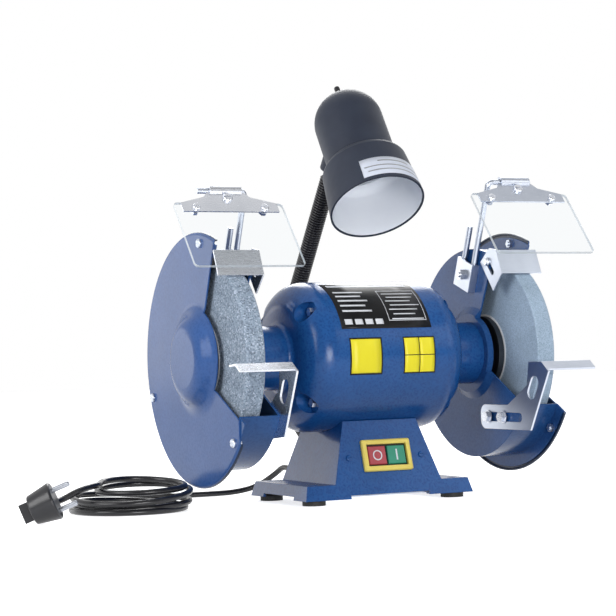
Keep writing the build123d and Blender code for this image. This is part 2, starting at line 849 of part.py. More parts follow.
def inner_guard(side):
    """Guard plate, drum and ring of the right (1) or left (-1) wheel, made as the right one."""
    plate = ring_x(drum_radius, seal_hole_radius, neck_end, guard_plane)
    drum = ring_x(drum_radius, drum_radius - drum_sheet, neck_end, cover_inner_face)
    ring = ring_x(flange_ring_radius, drum_radius - drum_sheet, ring_face, cover_inner_face)
    inner = neck_radius + seat_gap
    emboss = turned(Polyline((neck_end, inner), (neck_end - emboss_height, inner),
                             (neck_end - emboss_height, emboss_radius - emboss_height - 2),
                             (neck_end, emboss_radius), close=True))
    guard = plate + drum + ring + emboss - guard_opening()
    for y, z in ring_places(cover_screw_circle, cover_screw_angles):
        guard -= rod_x(cover_screw_diameter / 2 + bolt_gap / 2, ring_face - 1, cover_face, y, z)
    for y, z in mount_screw_places():
        guard -= rod_x(mount_screw_diameter / 2 + bolt_gap / 2, neck_end - 1, guard_plane + 1, y, z)
    for y in rest_bolt_places:
        guard -= rod_x(rest_bolt_diameter / 2 + bolt_gap / 2, neck_end - 1, guard_plane + 1, y, rest_slot_z())
    y, z = spark_screw_place()
    guard -= rod_x(spark_screw_diameter / 2 + bolt_gap / 2, neck_end - 1, guard_plane + 1, y, z)
    y, z = clamp_place(side)
    guard -= rod_x(clamp_bolt_diameter / 2 + bolt_gap / 2, neck_end - 1, guard_plane + 1, y, z)
    return up * guard


def dome_lines(face):
    """Rounded slope of the cover's dome, from its foot on a face to its flat top."""
    foot = (face, dome_radius)
    top = (face + dome_height, dome_top_radius)
    middle = (face + dome_height / 2, (dome_radius + dome_top_radius) / 2)
    return [TangentArc(foot, middle, tangent=(0, -1)), TangentArc(top, middle, tangent=(0, 1))]


def outer_cover():
    """Right cover: flat disc with a domed middle, a rolled rim and the front opening."""
    lip = cover_face - cover_lip_depth
    outer_round = cover_edge_round * (1 - cos(radians(45)))
    inner_edge = cover_radius - cover_sheet
    inner_round = cover_edge_round - cover_sheet
    inner_bend = inner_round * (1 - cos(radians(45)))
    top = cover_face + dome_height
    lines = dome_lines(cover_face) + dome_lines(cover_inner_face) + [
        Line((top, 0), (top, dome_top_radius)),
        Line((cover_face, dome_radius), (cover_face, cover_radius - cover_edge_round)),
        ThreePointArc((cover_face, cover_radius - cover_edge_round),
                      (cover_face - outer_round, cover_radius - outer_round),
                      (cover_face - cover_edge_round, cover_radius)),
        Polyline((cover_face - cover_edge_round, cover_radius), (lip, cover_radius), (lip, inner_edge),
                 (cover_face - cover_edge_round, inner_edge)),
        ThreePointArc((cover_face - cover_edge_round, inner_edge),
                      (cover_inner_face - inner_bend, inner_edge - inner_bend),
                      (cover_inner_face, inner_edge - inner_round)),
        Line((cover_inner_face, inner_edge - inner_round), (cover_inner_face, dome_radius)),
        Polyline((top - cover_sheet, dome_top_radius), (top - cover_sheet, 0), (top, 0)),
    ]
    cover = turned(lines) - cover_opening()
    for y, z in ring_places(cover_screw_circle, cover_screw_angles):
        cover -= rod_x(cover_screw_diameter / 2 + bolt_gap / 2, cover_inner_face - 1, cover_face + 1, y, z)
    return up * cover


def left_outer_cover():
    """Left cover: the right one's mirror image, cut straight in front below its opening."""
    front = Pos(cover_face, left_cover_trim - cover_radius, axis_height)
    trim = Box(cover_radius, cover_radius, cover_radius, align=(Align.CENTER, Align.MAX, Align.MAX))
    return mirrored(outer_cover() - front * trim)


def cover_screws():
    """Round-head screws and nuts that hold the covers to the guards."""
    screws = []
    for y, z in ring_places(cover_screw_circle, cover_screw_angles):
        plane = Plane(origin=(cover_face, y, z), x_dir=(0, 1, 0), z_dir=(1, 0, 0))
        length = cover_face - ring_face + cover_nut_height + 1
        screw = round_screw(plane, cover_screw_diameter, length, cover_screw_head_radius,
                            cover_screw_head_height)
        screw += hex_x(cover_nut_width, ring_face - cover_nut_height, ring_face, y, z)
        screws += [up * end for end in both_ends(screw)]
    return group(screws)


def guard_mount_screws():
    """Screws that hold the inner guards to the bells."""
    screws = []
    for y, z in mount_screw_places():
        plane = Plane(origin=(guard_plane, y, z), x_dir=(0, 1, 0), z_dir=(1, 0, 0))
        screw = round_screw(plane, mount_screw_diameter, mount_screw_length, mount_screw_head_radius,
                            mount_screw_head_height)
        screws += [up * end for end in both_ends(screw)]
    return group(screws)


# Tool rests
def rest_slot_z():
    """Height of the rest's slot above the shaft axis."""
    return rest_arm_bottom + rest_arm_height / 2 - axis_height


def tool_rest():
    """Right tool rest: slotted arm, slanted riser and a table with a sloping front lip."""
    outline = make_face(Polyline(
        (rest_arm_back, rest_arm_bottom), (rest_arm_back, rest_arm_top),
        (rest_riser_back + rest_web_length, rest_arm_top),
        (rest_riser_back + rest_web_step, rest_arm_top + rest_web_rise), (rest_riser_back, rest_table_top),
        (rest_table_front, rest_table_top), (rest_front_reach, rest_lip_bottom),
        (rest_front_foot, rest_arm_bottom), close=True))
    ends = outline.vertices().sort_by(Axis.X)[-2:]
    outline = fillet(ends, rest_arm_round)
    side = plate_x(outline, rest_plane, rest_plane + rest_sheet)
    slot_middle = rest_slot_back - rest_slot_length / 2
    slot = Pos(slot_middle, rest_arm_bottom + rest_arm_height / 2) * SlotCenterToCenter(
        rest_slot_length - rest_slot_width, rest_slot_width)
    side -= plate_x(slot, rest_plane - 1, neck_end + 1)
    lean = degrees(atan2(rest_lip_bottom - rest_arm_bottom, rest_front_reach - rest_front_foot))
    window_y = (rest_riser_back + rest_front_foot) / 2 - rest_window_step
    window_z = (rest_arm_top + rest_table_top) / 2 - rest_window_drop
    window = SlotCenterToCenter(rest_window_length, rest_window_width)
    side -= plate_x(Pos(window_y, window_z) * Rot(0, 0, lean) * window, rest_plane - 1, neck_end + 1)
    slope = atan2(rest_table_top - rest_lip_bottom, rest_table_front - rest_front_reach)
    inward = rest_sheet * (1 - sin(slope)) / cos(slope)
    drop = (rest_sheet * sin(slope), -rest_sheet * cos(slope))
    under = rest_table_top - rest_sheet
    lip = (rest_table_front - rest_lip_share * rest_lip_reach,
           rest_table_top - rest_lip_share * (rest_table_top - rest_lip_bottom))
    table = make_face(Polyline(
        (rest_table_back, rest_table_top), (rest_table_front, rest_table_top), lip,
        (lip[0] + drop[0], lip[1] + drop[1]), (rest_table_front + inward, under), (rest_table_back, under),
        close=True))
    return side + plate_x(table, rest_plane, rest_table_end)


def left_tool_rest():
    """Left tool rest: the right one's mirror image, slid back and tilted in its slot."""
    middle = (0, sum(rest_bolt_places) / len(rest_bolt_places), rest_slot_z() + axis_height)
    turn = Pos(*middle) * Rot(-left_rest_tilt, 0, 0) * Pos(0, left_rest_slide, 0)
    return mirrored(turn * Pos(0, -middle[1], -middle[2]) * tool_rest())


def rest_bolt(y):
    """Bolt, washer and nut that clamp a tool rest to the guard plate."""
    z = rest_slot_z()
    seat = rest_plane - rest_washer_thickness
    bolt = rod_x(rest_washer_radius, seat, rest_plane, y, z)
    bolt += hex_x(rest_bolt_head_width, seat - rest_bolt_head_height, seat, y, z)
    bolt += rod_x(rest_bolt_diameter / 2, seat, guard_plane + rest_nut_height + 1, y, z)
    return bolt + hex_x(rest_bolt_head_width, guard_plane, guard_plane + rest_nut_height, y, z)


# Spark plates
def along_slope(distance):
    """Step along the spark plate's slot, forwards and down."""
    return -distance * sin(radians(spark_slope)), -distance * cos(radians(spark_slope))


def spark_screw_place():
    """Place of a spark plate's screw on its guard plate."""
    return ring_places(drum_radius - spark_screw_inset, (spark_screw_angle,))[0]


def spark_plate():
    """Right spark plate: slotted flange on the guard and a bent plate over the wheel."""
    flange_plane = neck_end - spark_sheet
    spark_top = ring_places(wheel_radius + spark_top_gap, (spark_top_angle,))[0]
    spark_bottom = ring_places(wheel_radius + spark_bottom_gap, (spark_bottom_angle,))[0]
    y, z = spark_screw_place()
    middle = along_slope(spark_slot_length / 2 - spark_screw_travel)
    turn = 90 - spark_slope
    slot = Pos(y + middle[0], z + middle[1]) * Rot(0, 0, turn) * SlotCenterToCenter(
        spark_slot_length - spark_slot_width, spark_slot_width)
    across = (-cos(radians(spark_slope)), sin(radians(spark_slope)))
    start = along_slope(-spark_flange_above)
    finish = along_slope(spark_flange_below)
    half = spark_flange_width / 2
    back_top = (y + start[0] - across[0] * half, z + start[1] - across[1] * half)
    front_top = (y + start[0] + across[0] * half, z + start[1] + across[1] * half)
    back_low = (y + finish[0] - across[0] * half, z + finish[1] - across[1] * half)
    outline = make_face(Polyline(back_top, front_top, spark_top, spark_bottom, back_low, close=True))
    flange = plate_x(outline, flange_plane, neck_end) - plate_x(slot, flange_plane - 1, neck_end + 1)
    run = (spark_bottom[0] - spark_top[0], spark_bottom[1] - spark_top[1])
    length = hypot(*run)
    step = (run[0] / length, run[1] / length)
    inward = (-step[1] * spark_sheet, step[0] * spark_sheet)
    section = make_face(Polyline(
        spark_top, spark_bottom, (spark_bottom[0] + inward[0], spark_bottom[1] + inward[1]),
        (spark_top[0] + inward[0], spark_top[1] + inward[1]), close=True))
    return up * (flange + plate_x(section, flange_plane, spark_plate_end))


def spark_screw():
    """Screw and nut that clamp a spark plate."""
    y, z = spark_screw_place()
    seat = neck_end - spark_sheet
    plane = Plane(origin=(seat, y, z), x_dir=(0, 1, 0), z_dir=(-1, 0, 0))
    length = spark_sheet + guard_sheet + rest_nut_height + 1
    screw = round_screw(plane, spark_screw_diameter, length, spark_screw_head_radius, spark_screw_head_height)
    return screw + hex_x(cover_nut_width, guard_plane, guard_plane + rest_nut_height, y, z)


# Eye shields
def clamp_place(side):
    """Place of a shield clamp on its guard plate, from the shaft axis."""
    inset = right_clamp_inset if side > 0 else left_clamp_inset
    angle = right_clamp_angle if side > 0 else left_clamp_angle
    return ring_places(drum_radius - inset, (angle,))[0]


def rod_line(side, distance, offset):
    """Point in the rod's plane: along the leaning leg and across towards the front."""
    y, z = clamp_place(side)
    lean = radians(rod_lean)
    return (y - distance * sin(lean) - offset * cos(lean), z + distance * cos(lean) - offset * sin(lean))


def bar_point(side):
    """Y and Z, from the shaft axis, of the bar that carries a shield."""
    height = wheel_radius + (right_bar_rise if side > 0 else left_bar_rise)
    start = rod_line(side, 0, rod_leg_spacing / 2)
    distance = (height - start[1]) / cos(radians(rod_lean))
    return rod_line(side, distance, rod_leg_spacing / 2)


def shield_rod(side):
    """Bent rod: short leg, turn under the clamp bolt, long leg and the bar along X."""
    half = rod_leg_spacing / 2
    bar = bar_point(side)
    bar_end = (right_bar_end if side > 0 else left_bar_end) * side
    turn_low = -rod_turn_drop - half
    corners = [rod_line(side, rod_short_leg, -half), rod_line(side, turn_low, -half),
               rod_line(side, turn_low, half), bar]
    points = [(rod_plane, y, z) for y, z in corners] + [(bar_end, bar[0], bar[1])]
    path = FilletPolyline(*points, radius=[half - 0.01, half - 0.01, rod_bend_radius])
    section = Plane(origin=path @ 0, z_dir=path % 0) * Circle(rod_radius)
    return up * sweep(section, path=path)


def shield_clamp(side):
    """Channel that holds both legs of a rod against the guard plate."""
    y, z = clamp_place(side)
    block = Box(neck_end - clamp_back, clamp_width, clamp_height)
    room = rod_leg_spacing + 2 * rod_radius + 2 * running_gap
    pocket = Pos(clamp_sheet, 0, 0) * Box(neck_end - clamp_back, room, 2 * clamp_height)
    channel = Rot(rod_lean, 0, 0) * (block - pocket)
    channel = Pos((neck_end + clamp_back) / 2, y, z) * channel
    return up * (channel - rod_x(clamp_bolt_diameter / 2 + bolt_gap / 2, clamp_back - 1, neck_end, y, z))


def clamp_bolt(side):
    """Bolt and nut of a shield clamp."""
    y, z = clamp_place(side)
    bolt = rod_x(clamp_bolt_diameter / 2, clamp_back - clamp_nut_height - 1.5, guard_plane, y, z)
    bolt += hex_x(clamp_nut_width, clamp_back - clamp_nut_height, clamp_back, y, z)
    return bolt + rod_x(clamp_nut_width / 2, guard_plane, guard_plane + clamp_head_height, y, z)


def guard_bolts():
    """Bolts of the tool rests, the spark plates and the shield clamps."""
    bolts = []
    for side in (1, -1):
        pieces = [rest_bolt(y) for y in rest_bolt_places] + [spark_screw(), clamp_bolt(side)]
        bolts += [up * (piece if side > 0 else mirrored(piece)) for piece in pieces]
    return group(bolts)


def shield_plane(side):
    """Plane of a shield: origin on the bar, X along the bar, Y down the shield, Z away from the user."""
    bar = bar_point(side)
    tilt = radians(shield_tilt)
    centre = abs(right_bracket_centre if side > 0 else left_bracket_centre)
    down = Vector(0, -sin(tilt), -cos(tilt))
    across = Vector(1, 0, 0)
    return Plane(origin=(centre, bar[0], bar[1] + axis_height), x_dir=(1, 0, 0), z_dir=across.cross(down))


def shield_screw_places():
    """Two screws that join a shield to its bracket."""
    return [(sx * shield_screw_spacing / 2, shield_screw_drop) for sx in (-1, 1)]


def shield_bracket(side):
    """Sheet bracket, curled round the bar at its top."""
    half = bracket_width / 2
    hump = bracket_hump_width / 2
    curl = rod_radius + running_gap + curl_wall
    front = -bracket_sheet
    waist = bracket_shoulder * 0.55
    outline = make_face(Polyline((-hump, 0), (hump, 0), (hump + 8, waist), (half, bracket_shoulder),
                                 (half, bracket_drop), (-half, bracket_drop), (-half, bracket_shoulder),
                                 (-hump - 8, waist), close=True))
    sheet = Pos(0, 0, front) * extrude(outline, amount=bracket_sheet)
    sheet += Rot(0, 90, 0) * Cylinder(curl, bracket_hump_width)
    sheet -= Rot(0, 90, 0) * Cylinder(rod_radius + running_gap, 2 * bracket_width)
    for x, y in shield_screw_places():
        sheet -= Pos(x, y, 0) * Cylinder(shield_screw_diameter / 2 + bolt_gap / 2, 8 * bracket_sheet)
    return shield_plane(side) * sheet


def eye_shield(side):
    """Clear sheet behind the bracket."""
    sheet = Pos(0, shield_top_drop, 0) * Box(shield_width, shield_length, shield_thickness,
                                             align=(Align.CENTER, Align.MIN, Align.MIN))
    sheet = fillet(sheet.edges().filter_by(Axis.Z), shield_corner_round)
    for x, y in shield_screw_places():
        sheet -= Pos(x, y, 0) * Cylinder(shield_screw_diameter / 2 + bolt_gap / 2, 8 * shield_thickness)
    return shield_plane(side) * sheet


def shield_screws(side):
    """Two shield screws with nuts, and the pinch screw of the curl."""
    screws = []
    for x, y in shield_screw_places():
        plane = Plane(origin=(x, y, -bracket_sheet), x_dir=(1, 0, 0), z_dir=(0, 0, -1))
        length = bracket_sheet + shield_thickness + shield_nut_height + 1
        screw = round_screw(plane, shield_screw_diameter, length, shield_screw_head_radius,
                            shield_screw_head_height)
        nut = Pos(x, y, shield_thickness) * RegularPolygon(shield_nut_width / 2, 6, major_radius=False)
        screws.append(screw + extrude(nut, amount=shield_nut_height))
    pinch = Plane(origin=(0, pinch_screw_drop, -bracket_sheet), x_dir=(1, 0, 0), z_dir=(0, 0, -1))
    head = Cylinder(pinch_screw_radius, pinch_screw_height, align=(Align.CENTER, Align.CENTER, Align.MIN))
    head = fillet(head.edges().group_by(Axis.Z)[-1], pinch_screw_height * 0.6)
    slot = Box(2 * pinch_screw_radius, pinch_screw_radius / 4, pinch_screw_height)
    head -= Pos(0, 0, pinch_screw_height) * slot
    screws.append(pinch * head)
    return group([shield_plane(side) * screw for screw in screws])


# Lamp
def lamp_plane():
    """Plane of the shade's mouth, with Z up the shade."""
    tilt = radians(lamp_tilt)
    lean = radians(lamp_lean)
    along = (cos(tilt) * sin(lean), sin(tilt), cos(tilt) * cos(lean))
    across = (cos(lean), 0, -sin(lean))
    return Plane(origin=(0, lamp_opening_y, lamp_opening_z), x_dir=across, z_dir=along)


def hose_direction():
    """Direction of the gooseneck's straight end."""
    tilt = radians(lamp_tilt)
    return Vector(0, -sin(tilt), cos(tilt))


def bend_point(turn):
    """Centre of the gooseneck's bend after a turn from the nipple."""
    rise = hose_bend_radius * (1 - cos(turn))
    return Vector(0, nipple_end + hose_bend_radius * sin(turn), nipple_height + rise)


def hose_bend_end():
    """Place where the gooseneck's bend turns into its straight end."""
    return bend_point(radians(90 + lamp_tilt))


def hose_joint():
    """Place where the gooseneck bends when the lamp is moved."""
    return hose_bend_end() + hose_direction() * hose_joint_straight


def ball_centre():
    """Centre of the ball that carries the shade."""
    tilt = radians(lamp_tilt)
    mouth = Vector(0, lamp_opening_y, lamp_opening_z)
    axis = Vector(0, sin(tilt), cos(tilt))
    side = Vector(0, cos(tilt), -sin(tilt))
    start = hose_joint()
    speed = hose_direction().dot(side)
    along = ((start - mouth).dot(side) - shade_radius) / -speed
    return start + hose_direction() * (along - ball_joint_offset)


def shade_outline(wall):
    """Outline of the shade, radius against distance from the mouth, moved in by a wall."""
    top_end = shade_collar_length + shade_shoulder_length
    collar_end = shade_collar_length - wall
    bend = ((shade_shoulder_radius + shade_radius) / 2 - wall, collar_end + shade_shoulder_length * 0.75)
    radius = shade_radius - wall
    dome = (radius * cos(radians(45)), shade_dome_start + radius * sin(radians(45)))
    return [
        Line((0, 0), (shade_mouth_radius - wall, 0)),
        Line((shade_mouth_radius - wall, 0), (shade_shoulder_radius - wall, collar_end)),
        ThreePointArc((shade_shoulder_radius - wall, collar_end), bend, (radius, top_end - wall)),
        Line((radius, top_end - wall), (radius, shade_dome_start)),
        ThreePointArc((radius, shade_dome_start), dome, (0, shade_dome_start + radius)),
        Line((0, shade_dome_start + radius), (0, 0)),
    ]


def lamp_shade():
    """Lamp shade with the ball socket on its back and the switch hole in its dome."""
    outer = revolve(Plane.XZ * make_face(shade_outline(0)), axis=Axis.Z)
    inner = revolve(Plane.XZ * make_face(shade_outline(shade_wall)), axis=Axis.Z)
    top = shade_dome_start + shade_radius
    shade = lamp_plane() * (outer - Pos(0, 0, top) * Cylinder(lamp_knob_radius + running_gap, 8 * shade_wall))
    socket_radius = ball_joint_radius + running_gap
    ball = ball_centre()
    boss_start = ball - hose_direction() * ball_socket_overlap
    boss_plane = Plane(origin=boss_start, x_dir=(1, 0, 0), z_dir=hose_direction())
    boss_length = ball_socket_overlap + ball_joint_offset + shade_radius / 3
    boss = boss_plane * Cylinder(socket_radius + ball_socket_wall, boss_length,
                                 align=(Align.CENTER, Align.CENTER, Align.MIN))
    shade = shade + boss - lamp_plane() * inner
    return shade - Pos(*ball) * Sphere(socket_radius)


def lamp_holder():
    """Bulb holder under the dome."""
    top = shade_dome_start + sqrt((shade_radius - shade_wall) ** 2 - lamp_holder_radius ** 2) - seat_gap
    body = Pos(0, 0, top) * Cylinder(lamp_holder_radius, lamp_holder_length,
                                     align=(Align.CENTER, Align.CENTER, Align.MAX))
    socket = Pos(0, 0, top - lamp_holder_length) * Cylinder(lamp_holder_radius * 0.8, lamp_holder_length)
    return lamp_plane() * (body - socket)


def lamp_knob():
    """Push switch on the dome."""
    top = shade_dome_start + shade_radius
    low = top - shade_wall - lamp_knob_travel
    knob = Pos(0, 0, low) * Cylinder(lamp_knob_radius, lamp_knob_height + top - low,
                                     align=(Align.CENTER, Align.CENTER, Align.MIN))
    knob = fillet(knob.edges().group_by(Axis.Z)[-1], lamp_knob_radius * 0.5)
    return lamp_plane() * knob


def lamp_neck_base():
    """Nipple on the rear wall that holds the gooseneck, with its nut inside."""
    wall = front_depth(nipple_height)
    lean = radians(front_angle)
    slab = face_plane(0, nipple_height, 1) * Box(4 * nipple_radius, 4 * nipple_radius, 4 * nipple_radius,
                                                 align=(Align.CENTER, Align.CENTER, Align.MAX))
    collar_length = nipple_end - wall + nipple_radius * tan(lean)
    turn = Plane(origin=(0, nipple_end, nipple_height), x_dir=(1, 0, 0), z_dir=(0, -1, 0))
    collar = turn * Cylinder(nipple_radius, collar_length + base_wall,
                             align=(Align.CENTER, Align.CENTER, Align.MIN))
    stud_length = nipple_end - wall + base_wall + nipple_stud_inside
    stud = turn * Cylinder(nipple_stud_radius, stud_length, align=(Align.CENTER, Align.CENTER, Align.MIN))
    nut = turn * Pos(0, 0, stud_length - 5) * Cylinder(nipple_nut_radius, 5,
                                                       align=(Align.CENTER, Align.CENTER, Align.MIN))
    return collar - slab + stud + nut


def ribbed(places):
    """Ribbed body through pairs of centre and direction, four circles a rib."""
    circles = []
    for number, (centre, direction) in enumerate(places):
        radius = hose_radius if number % 4 in (1, 2) else hose_radius - hose_groove
        circles.append(Plane(origin=centre, x_dir=(1, 0, 0), z_dir=direction) * Circle(radius))
    return loft(circles, ruled=True)


def lower_hose_place(distance):
    """Centre and direction of the lower gooseneck, from the nipple."""
    bend_length = hose_bend_radius * radians(90 + lamp_tilt)
    if distance > bend_length:
        return hose_bend_end() + hose_direction() * (distance - bend_length), hose_direction()
    turn = distance / hose_bend_radius
    return bend_point(turn), Vector(0, cos(turn), sin(turn))


def rib_steps(length):
    """Places of the circles along a gooseneck piece: four a rib, with plain ends."""
    ribs = int(length / rib_pitch)
    pitch = length / ribs
    steps = [pitch * (rib + part) for rib in range(ribs) for part in (0.0, 0.2, 0.5, 0.7)]
    return steps + [length]


def lamp_neck_lower():
    """Curved lower gooseneck from the base to its bending place."""
    length = hose_bend_radius * radians(90 + lamp_tilt) + hose_joint_straight - seat_gap
    hose = ribbed([lower_hose_place(step) for step in rib_steps(length)])
    bend_length = hose_bend_radius * radians(90 + lamp_tilt)
    start = lower_hose_place(0)[0]
    middle = lower_hose_place(bend_length / 2)[0]
    finish = hose_bend_end()
    straight = Line(finish, finish + hose_direction() * 2 * hose_joint_straight)
    path = ThreePointArc(start, middle, finish) + straight
    bore = sweep(Plane(origin=start, x_dir=(1, 0, 0), z_dir=(0, 1, 0)) * Circle(hose_bore), path=path)
    return hose - bore


def lamp_neck_upper():
    """Straight upper gooseneck with the ball that carries the shade."""
    start = hose_joint()
    ball = ball_centre()
    length = (ball - start).length - neck_stem_length
    direction = hose_direction()
    first = start + direction * seat_gap
    hose = ribbed([(first + direction * step, direction) for step in rib_steps(length - seat_gap)])
    along = Plane(origin=start, x_dir=(1, 0, 0), z_dir=direction)
    hose -= along * Cylinder(hose_bore, 2 * (length - hose_radius))
    relief = hose_radius * tan(radians(hose_joint_angle))
    for side in (-1, 1):
        wedge = Pos(0, side * hose_radius, 0) * Box(4 * hose_radius, 2 * hose_radius, 4 * relief,
                                                    align=(Align.CENTER, Align.CENTER, Align.MAX))
        hose -= along * Pos(0, 0, seat_gap) * Rot(side * hose_joint_angle, 0, 0) * wedge
    stem = along * Pos(0, 0, length - 1) * Cylinder(neck_stem_radius, neck_stem_length + 1,
                                                   align=(Align.CENTER, Align.CENTER, Align.MIN))
    return hose + stem + Pos(*ball) * Sphere(ball_joint_radius)


# Cord
coil_u = Vector(cos(radians(coil_heading)), -sin(radians(coil_heading)), 0)
coil_w = Vector(sin(radians(coil_heading)), cos(radians(coil_heading)), 0)
cord_height = cord_radius + cord_floor_gap


def coil_place(across, along, layer):
    """Point of the coil from its centre, in a layer counted from the bench."""
    centre = Vector(coil_centre[0], coil_centre[1], cord_height)
    return centre + coil_u * across + coil_w * along + Vector(0, 0, coil_layer_pitch * layer)


def coil_path():
    """One unbroken line through the coil's left and right ends, two arcs to each half turn."""
    joints = [coil_place(across, 0, layer) for across, layer in coil_ends]
    heading = -coil_w
    straight = 2 * cord_radius
    lines = [Line(joints[0] - heading * straight, joints[0])]
    for start, finish in zip(joints, joints[1:]):
        reach = (finish - start).length / 2
        middle = (start + finish) * 0.5 + heading * reach
        lines.append(TangentArc(start, middle, tangent=heading))
        lines.append(TangentArc(middle, finish, tangent=finish - start))
        heading = -heading
    lines.append(Line(joints[-1], joints[-1] + heading * straight))
    return Wire(lines)


def cord_coil():
    """The loose coil as one tube."""
    path = coil_path()
    print("coil length", round(path.length, 1), "least gap", round(least_gap(path), 2))
    section = Plane(origin=path @ 0, z_dir=path % 0) * Circle(cord_radius)
    return sweep(section, path=path)


def least_gap(path):
    """Smallest clear distance of a tube to itself, on points along its line."""
    count = int(path.length / 3)
    points = [path @ (number / count) for number in range(count + 1)]
    apart = int(6 * cord_radius * pi / (path.length / count))
    closest = min((points[i] - points[j]).length for i in range(count) for j in range(i + apart, count + 1))
    return closest - 2 * cord_radius


def tube(points, radius):
    """Cord tube along straight runs joined by arcs as large as the runs allow."""
    radii = []
    for before, here, after in zip(points, points[1:], points[2:]):
        turn = radians((here - before).get_angle(after - here))
        run = min((here - before).length, (after - here).length)
        radii.append(0.45 * run / tan(turn / 2))
    path = FilletPolyline(*points, radius=radii)
    body = sweep(Plane(origin=path @ 0, z_dir=path % 0) * Circle(radius), path=path)
    print("cord radii", [round(r, 1) for r in radii], "volume ratio",
          round(body.volume / (pi * radius ** 2 * path.length), 4))
    return body


def lead_points():
    """Route of the cord from the gland to the coil."""
    gland = face_plane(gland_x, gland_height, 1)
    start = gland.origin + gland.z_dir * gland_length
    finish = coil_path() @ 0
    hand = [Vector(*place) for place in lead_route]
    return [start, start + gland.z_dir * lead_first_run] + hand + [finish + coil_w * lead_last_run, finish]


def tail_points():
    """Route of the cord from the coil to the plug."""
    start = coil_path() @ 1
    outlet = plug_outlet()
    hand = []
    for across, along, height in tail_route:
        place = coil_place(across, along, 0)
        hand.append(Vector(place.X, place.Y, height))
    return [start, start - coil_w * tail_first_run] + hand + [outlet + coil_w * tail_last_run, outlet]


# Plug
def plug_centre():
    """Middle of the plug's body, lying on its rear edge beside the coil."""
    tilt = radians(plug_tilt)
    lift = plug_rear_radius * cos(tilt) + plug_length / 2 * sin(tilt) + plug_clear
    place = coil_place(*plug_place, 0)
    return Vector(place.X, place.Y, lift)


def plug_axis():
    """Direction of the plug's pins."""
    tilt = radians(plug_tilt)
    return coil_u * cos(tilt) + Vector(0, 0, sin(tilt))


def plug_outlet():
    """End of the plug's cable outlet."""
    return plug_centre() + coil_w * plug_outlet_length


def plug_body():
    """Angled plug lying on its side."""
    plane = Plane(origin=plug_centre(), x_dir=coil_w, z_dir=plug_axis())
    body = plane * Cone(plug_rear_radius, plug_radius, plug_length)
    body = fillet(body.edges().filter_by(GeomType.CIRCLE), 2)
    tab = plane * Pos(0, 0, -plug_length / 2) * Box(plug_tab_thickness, plug_tab_width, 2 * plug_tab_length)
    outlet = Plane(origin=plug_centre(), x_dir=(0, 0, 1), z_dir=coil_w) * Cylinder(
        plug_outlet_radius, plug_outlet_length, align=(Align.CENTER, Align.CENTER, Align.MIN))
    return body + tab + outlet


def plug_pins():
    """Two round pins, one above the other."""
    plane = Plane(origin=plug_centre(), x_dir=coil_w, z_dir=plug_axis())
    pins = []
    for side in (-1, 1):
        pin = Pos(0, side * pin_spacing / 2, plug_length / 2) * Cylinder(
            pin_radius, pin_length, align=(Align.CENTER, Align.CENTER, Align.MIN))
        pin = fillet(pin.edges().group_by(Axis.Z)[-1], pin_radius * 0.6)
        pins.append(plane * pin)
    return group(pins)


def main():
    os.makedirs("parts", exist_ok=True)
    save("base_casting", base_casting())
    save("base_bottom_plate", base_bottom_plate())
    save("base_screws", base_screws())
    save("rubber_feet", rubber_feet())
    save("switch_housing", switch_housing())
    save("switch_bezel", switch_bezel())
    save("stop_button", push_button(-1))
    save("start_button", push_button(1))
    save("capacitor", capacitor())
    save("terminal_block", terminal_block())
    save("cord_gland", cord_gland())
    save("motor_shell", motor_shell())
    bell = end_bell()
    save("right_end_bell", bell)
    save("left_end_bell", mirrored(bell))
    save("through_bolts", through_bolts())
    save("stator_core", stator_core())
    save("stator_windings", stator_windings())
    save("shaft", shaft())
    save("rotor_core", rotor_core())
    save("bearing_outer_races", bearing_outer_races())
    save("bearing_inner_races", bearing_inner_races())
    save("bearing_balls", bearing_balls())
    wheel = grinding_wheel()
    save("right_grinding_wheel", wheel)
    save("left_grinding_wheel", mirrored(wheel))
    save("wheel_bushes", wheel_bushes())
    save("wheel_blotters", wheel_blotters())
    save("wheel_flanges", wheel_flanges())
    save("spindle_nuts", spindle_nuts())
    save("right_outer_cover", outer_cover())
    save("left_outer_cover", left_outer_cover())
    save("cover_screws", cover_screws())
    save("guard_mount_screws", guard_mount_screws())
    save("right_tool_rest", tool_rest())
    save("left_tool_rest", left_tool_rest())
    spark = spark_plate()
    save("right_spark_plate", spark)
    save("left_spark_plate", mirrored(spark))
    save("guard_bolts", guard_bolts())
    for side, name in ((1, "right"), (-1, "left")):
        pieces = {
            "inner_guard": inner_guard(side),
            "shield_clamp": shield_clamp(side),
            "shield_rod": shield_rod(side),
            "shield_bracket": shield_bracket(side),
            "eye_shield": eye_shield(side),
            "shield_screws": shield_screws(side),
        }
        for piece, shape in pieces.items():
            save(name + "_" + piece, shape if side > 0 else mirrored(shape))
    save("lamp_neck_base", lamp_neck_base())
    save("lamp_neck_lower", lamp_neck_lower())
    save("lamp_neck_upper", lamp_neck_upper())
    save("lamp_shade", lamp_shade())
    save("lamp_holder", lamp_holder())
    save("lamp_switch_knob", lamp_knob())
    save("cord_coil", cord_coil())
    save("cord_lead", tube(lead_points(), cord_radius))
    save("cord_tail", tube(tail_points(), cord_radius))
    save("plug_body", plug_body())
    save("plug_pins", plug_pins())


main()
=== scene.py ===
import bpy
import bmesh
import json
import math
from mathutils import Matrix, Vector


